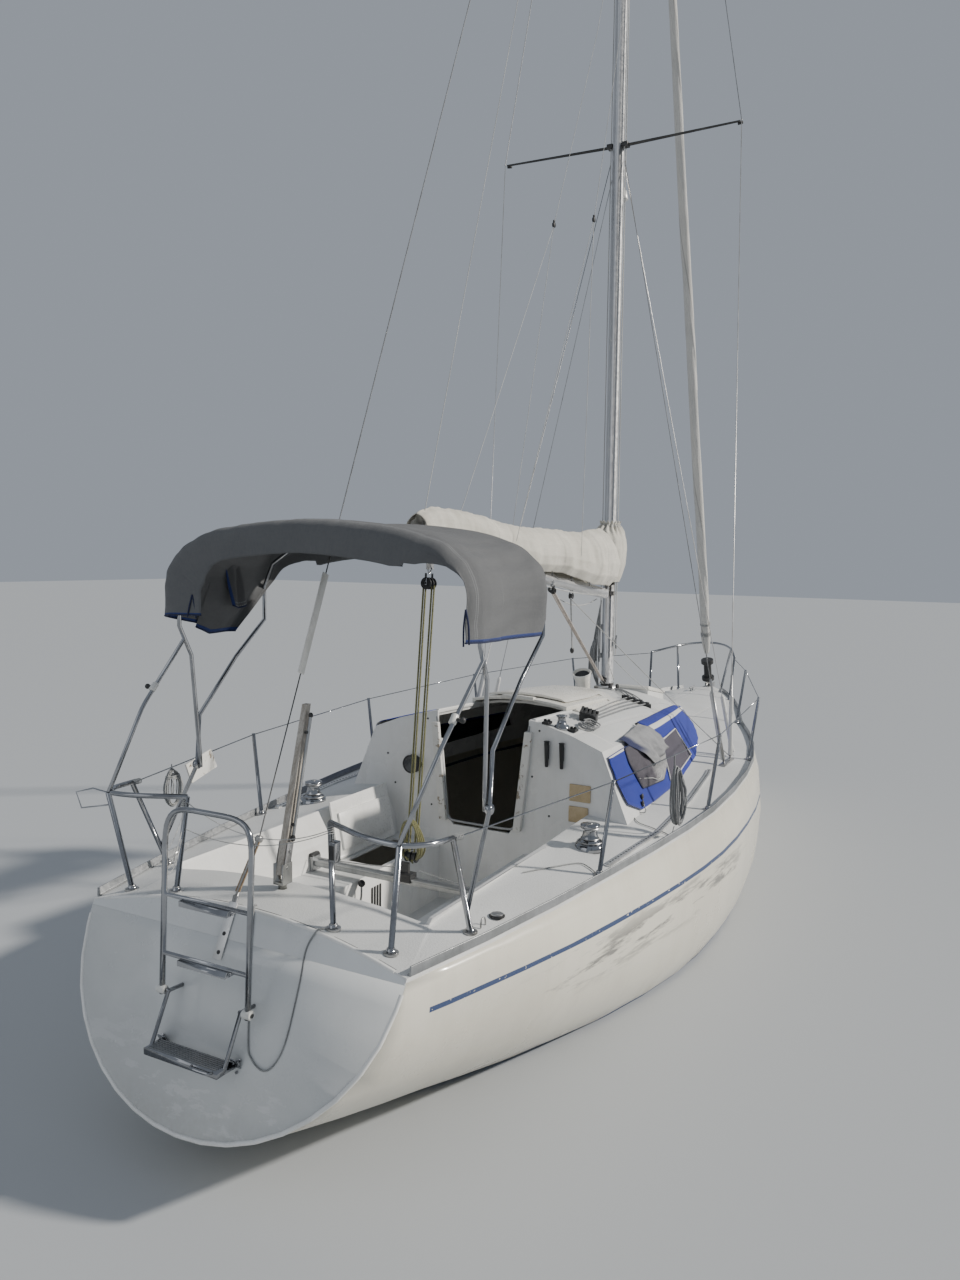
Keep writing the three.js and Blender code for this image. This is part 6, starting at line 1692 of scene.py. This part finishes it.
for y0, y1, z0, z1 in ((-0.738, -0.602, 1.096, 1.200), (-0.725, -0.600, 0.968, 1.066)):
    add_block(pads, (WALL_X - 0.006, (y0 + y1) / 2, (z0 + z1) / 2), (0.012, y1 - y0, z1 - z0), 0.0055,
              segments=3)
tan_pad = gloss_finish("tan_pad", (0.56, 0.44, 0.26), (0.42, 0.31, 0.17), 9.0)
add_piece("bulkhead_pads", pads, [tan_pad], slot="painted_wood")
DOORWAY = [(-0.327, 1.520), (-0.300, 1.360), (-0.270, 1.120), (-0.244, 0.905), (-0.228, 0.872),
           (-0.195, 0.858), (0, 0.855), (0.195, 0.858), (0.228, 0.872), (0.244, 0.905), (0.270, 1.120),
           (0.300, 1.360), (0.327, 1.520)]
trim_run = smooth_run([(WALL_X - 0.001, y, z) for y, z in DOORWAY], 0.01)
grey_trim = gloss_finish("grey_trim", (0.34, 0.35, 0.36), (0.24, 0.25, 0.26), 7.0)
strands("doorway_trim", [trim_run], 0.0075, grey_trim, slot="black_fittings")
ring = bmesh.new()
DIAL_Y, DIAL_Z, DIAL_RIM = 0.498, 1.195, 0.056
dial = [Vector((-1.571, DIAL_Y + DIAL_RIM * math.cos(t), DIAL_Z + DIAL_RIM * math.sin(t)))
        for t in angles(20)]
sweep(ring, dial, 0.005, 2)
add_drum(ring, (-1.5725, DIAL_Y, DIAL_Z), (-1.5745, DIAL_Y, DIAL_Z), 0.049, sides=32, material=1)
dial_glass, tree, sockets = new_finish("dial_face", 0.15, Coat_Weight=0.8)
wear = use_group(tree, weathering, Scale=9.0)
tree.links.new(blend_colour(tree, wear["Stain"], (0.012, 0.014, 0.016), (0.05, 0.06, 0.07)),
               sockets["Base Color"])
add_piece("instrument_rim", ring, [black, dial_glass])


# Cockpit fittings: double rails and end blocks of the traveller, its control line, the engine
# lever with its ball, the slotted vent beside it, and rims on the winches.
fittings = bmesh.new()
for x in (-2.437, -2.393):
    add_block(fittings, (x, 0, 0.775), (0.012, 1.24, 0.012), 0.003, material=1)
for s in (1, -1):
    add_block(fittings, (-2.415, s * 0.628, 0.792), (0.070, 0.036, 0.050), 0.006)
    add_drum(fittings, (-2.452, s * 0.628, 0.800), (-2.378, s * 0.628, 0.800), 0.018, sides=16,
             round_off=0.002)
add_piece("traveller_rails", fittings, [black, alloy], slot="alloy")
strands("traveller_line", [sagging((-2.46, 0.60, 0.81), (-2.43, 0.02, 0.835), 0.010),
                           sagging((-2.46, -0.60, 0.81), (-2.43, -0.10, 0.835), 0.010)], 0.003, grey_rope,
                           fine=1)
lever = bmesh.new()
add_block(lever, (-2.455, 0.3035, 0.545), (0.070, 0.010, 0.100), 0.004, material=1)
sweep(lever, smooth_run([(-2.455, 0.292, 0.555), (-2.452, 0.270, 0.620), (-2.450, 0.268, 0.690)], 0.01),
      0.006, 2, 1)
add_ball(lever, (-2.450, 0.268, 0.705), 0.021)
add_piece("engine_lever", lever, [black, steel])
vent = bmesh.new()
for k in range(4):
    add_block(vent, (-2.300 + 0.028 * k, 0.297, 0.555), (0.013, 0.008, 0.150), 0.003)
add_piece("vent_slots", vent, [black])


# The deck edge: x, half beam and height
DECK_EDGE = [(-3.78, 0.862, 0.912), (-3.05, 1.022, 0.920), (-2.324, 1.143, 0.931), (-1.55, 1.250, 0.940),
             (-0.849, 1.309, 0.951), (-0.1, 1.300, 0.965), (0.679, 1.228, 0.982), (1.4, 1.060, 1.004),
             (2.005, 0.842, 1.028), (2.65, 0.668, 1.043), (3.2, 0.488, 1.056), (3.65, 0.292, 1.068)]


def deck_height(x, y):
    half, sheer = along(DECK_EDGE, x), along(DECK_EDGE, x, 2)
    return sheer + 0.016 + 0.105 * min(1, half / 0.750) * max(0, 1 - (y / half) ** 2)


WINCH_X, WINCH_Y = -2.030, 0.930
rims = bmesh.new()
for s in (1, -1):
    base = deck_height(WINCH_X, WINCH_Y) + 0.025
    for height, reach, thick in ((0.012, 0.0665, 0.0035), (0.030, 0.049, 0.003), (0.088, 0.049, 0.0035)):
        round_run = [Vector((WINCH_X + reach * math.cos(t), s * WINCH_Y + reach * math.sin(t), base + height))
                     for t in angles(20)]
        sweep(rims, round_run, thick, 1)
    nut = (WINCH_X, s * WINCH_Y, base + 0.110)
    add_drum(rims, nut, (WINCH_X, s * WINCH_Y, base + 0.1145), 0.014, sides=8)
add_piece("winch_rims", rims, [worn_steel])


# Feet of the rails: round flanges with screws under every tube, small rope eyes, the fuel filler
# cap with its black ring, and thin shock cord along the side deck.
PUSHPIT_FEET = [(-3.672, 0.440), (-3.672, 0.724), (-3.295, 0.881)]
STANCHIONS = [(-2.324, 1.098), (-0.849, 1.265), (0.679, 1.182), (2.005, 0.786)]
flanges = bmesh.new()
for s in (1, -1):
    for x, y in PUSHPIT_FEET + STANCHIONS:
        z = deck_height(x, y)
        add_drum(flanges, (x, s * y, z - 0.004), (x, s * y, z + 0.007), 0.033, sides=24, round_off=0.002)
        add_drum(flanges, (x, s * y, z + 0.006), (x, s * y, z + 0.024), 0.018, 0.0150, sides=18,
                 round_off=0.002)
        for k in range(3):
            t = k * 2.094 + 0.5
            cx, cy = x + 0.025 * math.cos(t), s * y + 0.025 * math.sin(t)
            add_drum(flanges, (cx, cy, z + 0.006), (cx, cy, z + 0.0095), 0.0045, sides=8)
    z = deck_height(-3.21, 0.900)
    sweep(flanges, smooth_run([(-3.235, s * 0.900, z), (-3.228, s * 0.900, z + 0.035),
                               (-3.198, s * 0.900, z + 0.035), (-3.190, s * 0.900, z)], 0.008), 0.004, 1)
x, y = -3.09, -0.906
z = deck_height(x, -y)
add_drum(flanges, (x, y, z), (x, y, z + 0.008), 0.036, sides=28, round_off=0.002, material=1)
add_drum(flanges, (x, y, z + 0.008), (x, y, z + 0.015), 0.029, sides=28, round_off=0.003)
add_piece("rail_flanges", flanges, [worn_steel, black])
side_cord = smooth_run([(x, y, deck_height(x, -y) + 0.005) for x, y in
                        ((-2.60, -0.800), (-2.40, -0.900), (-2.28, -0.970), (-2.29, -1.030),
                         (-2.318, -1.070))], 0.01)
strands("side_deck_cord", [side_cord], 0.0032, grey_rope, fine=1)


# Lashings: thin white cord tied slackly across the stern between the ladder and the pushpits, and
# round the ends of the guard wires.
def loops_round(start, end, reach, turns):
    """Cord wound round a tube from start to end."""
    start, end = Vector(start), Vector(end)
    turn = (end - start).to_track_quat("Z", "Y").to_matrix()
    wound = []
    for k in range(turns * 12 + 1):
        off = Vector((reach * math.cos(k * math.pi / 6), reach * math.sin(k * math.pi / 6), 0))
        wound.append(start.lerp(end, k / (turns * 12)) + turn @ off)
    return even_run(wound, 0.006)


lashings = [
    sagging((-3.644, 0.405, 1.425), (-3.640, -0.405, 1.415), 0.10),
    sagging((-3.650, 0.415, 1.300), (-3.640, -0.405, 1.405), 0.07),
    sagging((-3.655, 0.420, 1.290), (-3.930, 0.236, 1.220), 0.03),
    sagging((-3.646, 0.408, 1.400), (-3.930, 0.236, 1.300), 0.03),
    sagging((-3.655, 0.420, 1.260), (-3.930, 0.236, 1.200), 0.05),
    loops_round((-3.490, -0.906, 1.418), (-3.440, -0.914, 1.4145), 0.013, 5),
    loops_round((-3.490, 0.906, 1.418), (-3.440, 0.914, 1.4145), 0.013, 5),
    loops_round((-3.643, -0.404, 1.430), (-3.648, -0.412, 1.395), 0.0145, 4),
    loops_round((-3.643, 0.404, 1.430), (-3.648, 0.412, 1.395), 0.0145, 4),
]
strands("stern_lashings", lashings, 0.0021, white_line, fine=1)


# Small stern fittings: lamp box on the starboard pushpit, white clamps on the canopy braces, and
# the tan strap between the perforated chainplate and the backstay.
stern = bmesh.new()
add_block(stern, (-3.655, -0.434, 1.330), (0.044, 0.034, 0.090), 0.006)
add_block(stern, (-3.678, -0.434, 1.330), (0.006, 0.026, 0.060), 0.002, material=1)
add_piece("lamp_box", stern, [steel, black])
clamps = bmesh.new()
for s in (1, -1):
    place = Vector((-3.405, s * 0.848, 1.885))
    way = Vector((-0.300, 0, -0.310)).normalized()
    add_drum(clamps, place - way * 0.022, place + way * 0.022, 0.0165, sides=20, round_off=0.003)
    add_drum(clamps, place + Vector((0, s * 0.014, 0)), place + Vector((0, s * 0.034, 0)), 0.008, sides=12,
             material=1)
    add_ball(clamps, place + Vector((0, s * 0.042, 0)), 0.0135, material=1)
add_piece("brace_clamps", clamps, [white_plastic, black], slot="black_fittings")
strap = bmesh.new()
add_block(strap, (-3.630, 0.054, 1.178), (0.006, 0.026, 0.230), 0.002, Matrix.Rotation(0.62, 3, "Y"))
tan_strap = wood_finish("tan_strap", (0.42, 0.30, 0.19), (0.26, 0.18, 0.11))
add_piece("backstay_strap", strap, [tan_strap], slot="painted_wood")
transom_out = Vector((-1, 0, TRANSOM_SLOPE)).normalized()


def transom_spot(y, z, out=0.0):
    """A point on the transom's face, or off it."""
    return Vector((TRANSOM_X - TRANSOM_SLOPE * (TRANSOM_Z - z), y, z)) + transom_out * out


plate = bmesh.new()
add_block(plate, transom_spot(0.054, 0.934, 0.0070), (0.0035, 0.046, 0.242), 0.0014,
          Matrix.Rotation(TRANSOM_LEAN, 3, "Y"))
# The black discs stand for the plate's holes: painted shade where the holes look dark.
for z in (0.852, 0.922, 0.992):
    add_drum(plate, transom_spot(0.054, z, 0.0075), transom_spot(0.054, z, 0.0096), 0.0090, sides=18,
             material=1)
add_piece("chainplate_front", plate, [track_alloy, black], slot="steel")


# Transom border: a pale raised lip along the transom's edge, with a thin dark seam inside it where
# the deck meets the hull.
shell = bmesh.new()
shell.from_mesh(nodes["hull_shell"].data)
rim = {}
for vert in shell.verts:
    off_face = abs((vert.co - transom_spot(0, TRANSOM_Z)).dot(transom_out))
    if off_face < 0.0008 and vert.co.z < TRANSOM_Z - 0.005:
        rim[round(math.atan2(vert.co.z - 0.62, vert.co.y), 3)] = vert.co.copy()
shell.free()
low_rim = [rim[angle] for angle in sorted(rim, key=lambda a: (a - math.pi / 2) % (2 * math.pi))]
middle = transom_spot(0, 0.62)
low_rim = [p + (middle - p).normalized() * 0.006 - transom_out * 0.004 for p in low_rim]
camber = [transom_spot(y, deck_height(-3.78, y) - 0.004, -0.004)
          for y in [0.80 - 0.08 * k for k in range(21)]]
panel = bmesh.new()
edge = [transom_spot(y, deck_height(-3.78, y) - 0.006, 0.0012)
        for y in [0.855 - 0.045 * k for k in range(39)]]
panel.faces.new([panel.verts.new(p) for p in [*edge, transom_spot(-0.861, 0.905, 0.0012),
                                              transom_spot(0.861, 0.905, 0.0012)]])
add_piece("transom_top", panel, [hull_gelcoat], slot="gelcoat_cream", outward=False)
lip = bmesh.new()
sweep(lip, even_run(low_rim, 0.02), 0.0095, 3)
sweep(lip, even_run(camber[::-1], 0.02), 0.0085, 3)
add_piece("transom_lip", lip, [white_gelcoat], slot="gelcoat_cream")
seam = bmesh.new()
sweep(seam, even_run([p + Vector((0.013, 0, 0.0045)) for p in camber], 0.02), 0.0022, 1)
add_piece("transom_seam", seam, [black])


# Slots of the genoa tracks: thin black patches all along them, painted shade where the sunk slots look dark.
# A thin grey cord leads from a hook on the starboard window cover to the rope hank.
TRACK_LINE = [(-2.17, 1.092, 0.9741), (-1.5, 1.150, 0.9856), (-0.8, 1.128, 1.0071), (-0.1, 1.062, 1.0279),
              (0.05, 1.041, 1.0328)]
slots = bmesh.new()
for s in (1, -1):
    spots = even_run([(x, s * y, z) for x, y, z in TRACK_LINE], 0.034)
    for a, b in zip(spots, spots[1:]):
        way = (b - a).normalized()
        add_block(slots, a.lerp(b, 0.5) + Vector((0, 0, 0.0006)), (0.017, 0.008, 0.0014), 0.0005,
                  Matrix.Rotation(math.atan2(way.y, way.x), 3, "Z"))
add_piece("track_slot_shade", slots, [black])
hook_cord = [(-1.30, -0.934), (-1.44, -1.000), (-1.468, -1.10), (-1.49, -1.19), (-1.515, -1.225)]
strands("cover_hook_cord", [smooth_run([cabin_side(-1.24, 0.16, 0.026, -1),
                                        cabin_side(-1.27, 0.05, 0.030, -1)]
                                       + [(x, y, deck_height(x, y) + 0.005) for x, y in hook_cord]
                                       + [(-1.520, -1.245, 1.030)], 0.01)], 0.0032, grey_rope, fine=1)
hooks = bmesh.new()
for x, t in ((-1.24, 0.16), (-1.21, 0.24)):
    add_ball(hooks, cabin_side(x, t, 0.022, -1), 0.013, (1.2, 0.7, 1.6))
add_piece("cover_hook_balls", hooks, [black])
sleeve_start, sleeve_end = Vector((-3.556, 0.054, 1.282)), Vector((0.412, 0, 11.074))
way = (sleeve_end - sleeve_start).normalized()
sleeve = bmesh.new()
low = sleeve_start + way * 0.78
add_block(sleeve, low + way * 0.24, (0.006, 0.046, 0.50), 0.0025, way.to_track_quat("Z", "Y").to_matrix())
add_piece("backstay_sleeve", sleeve, [white_plastic])


# Ladder fittings: dark grooved boards under its rungs, white round hinges with dark centres,
# the grooved bottom tread and its small chrome handle.
boards = bmesh.new()
for z, x in ((1.086, -3.925), (0.838, -3.952)):
    add_block(boards, (x + 0.020, 0, z), (0.050, 0.190, 0.016), 0.006)
    for k in range(5):
        add_block(boards, (x + 0.004 + 0.009 * k, 0, z + 0.0085), (0.0035, 0.178, 0.003), 0.0008)
grey_tread = gloss_finish("grey_tread", (0.17, 0.18, 0.19), (0.27, 0.27, 0.27), 9.0)
add_piece("ladder_boards", boards, [grey_tread], "ladder")
HINGE_X, HINGE_Z = -3.962, 0.712
hinges = bmesh.new()
for s in (1, -1):
    add_drum(hinges, (HINGE_X, s * 0.212, HINGE_Z), (HINGE_X, s * 0.2555, HINGE_Z), 0.019, sides=22,
             round_off=0.004)
    add_drum(hinges, (HINGE_X, s * 0.2555, HINGE_Z), (HINGE_X, s * 0.2585, HINGE_Z), 0.009, sides=16,
             material=1)
add_piece("ladder_hinges", hinges, [white_plastic, black], "ladder")
tread = bmesh.new()
for k in range(7):
    add_block(tread, (-4.089 + 0.0115 * k, 0, 0.5265), (0.0065, 0.37, 0.004), 0.001)
sweep(tread, smooth_run([(-4.098, -0.175, 0.520), (-4.116, -0.168, 0.522), (-4.120, -0.120, 0.522),
                         (-4.116, -0.075, 0.522), (-4.098, -0.068, 0.520)], 0.008), 0.006, 2, 1)
for s in (1, -1):
    face = transom_spot(s * 0.198, 0.500)
    add_block(tread, face + transom_out * 0.004, (0.006, 0.046, 0.070), 0.002,
              Matrix.Rotation(-TRANSOM_LEAN, 3, "Y"), 1)
    for dz in (-0.022, 0.022):
        bolt = face + Vector((TRANSOM_SLOPE, 0, 1)).normalized() * dz + Vector((0, s * 0.013, 0))
        add_drum(tread, bolt + transom_out * 0.006, bolt + transom_out * 0.012, 0.007, sides=6, material=1)
add_piece("tread_grooves", tread, [grey_tread, steel])


# Tiller fittings: dark laminate strips on its sides, steel cheek plates with bolts at its foot,
# and the thin extension clipped beside it.
TILLER_FOOT, TILLER_LEAN = Vector((-3.460, 0, 1.130)), 0.232
tiller_way = Vector((math.sin(TILLER_LEAN), 0, math.cos(TILLER_LEAN)))
tiller_turn = Matrix.Rotation(TILLER_LEAN, 3, "Y")
fit = bmesh.new()
for s in (1, -1):
    add_block(fit, TILLER_FOOT + tiller_way * 0.045 + Vector((0, s * 0.0245, 0)), (0.042, 0.004, 0.150),
              0.0015, tiller_turn)
    for k in (0.0, 0.075):
        spot = TILLER_FOOT + tiller_way * (0.005 + k) + Vector((0, s * 0.0265, 0))
        add_drum(fit, spot, spot + Vector((0, s * 0.005, 0)), 0.008, sides=6)
add_piece("tiller_plates", fit, [worn_steel], "tiller")
ext = bmesh.new()
low, high = [TILLER_FOOT + tiller_way * k + Vector((0, -0.034, 0)) for k in (0.14, 0.70)]
sweep(ext, sagging(low, high, 0.0), 0.0075, 2)
add_ball(ext, low, 0.012, (1, 1, 1.4), 1)
add_ball(ext, high, 0.011, (1, 1, 1.2), 1)
for k in (0.2, 0.62):
    add_block(ext, TILLER_FOOT + tiller_way * k + Vector((0, -0.028, 0)), (0.020, 0.018, 0.014), 0.003,
              tiller_turn, 1)
add_piece("tiller_extension", ext, [alloy, black], "tiller")
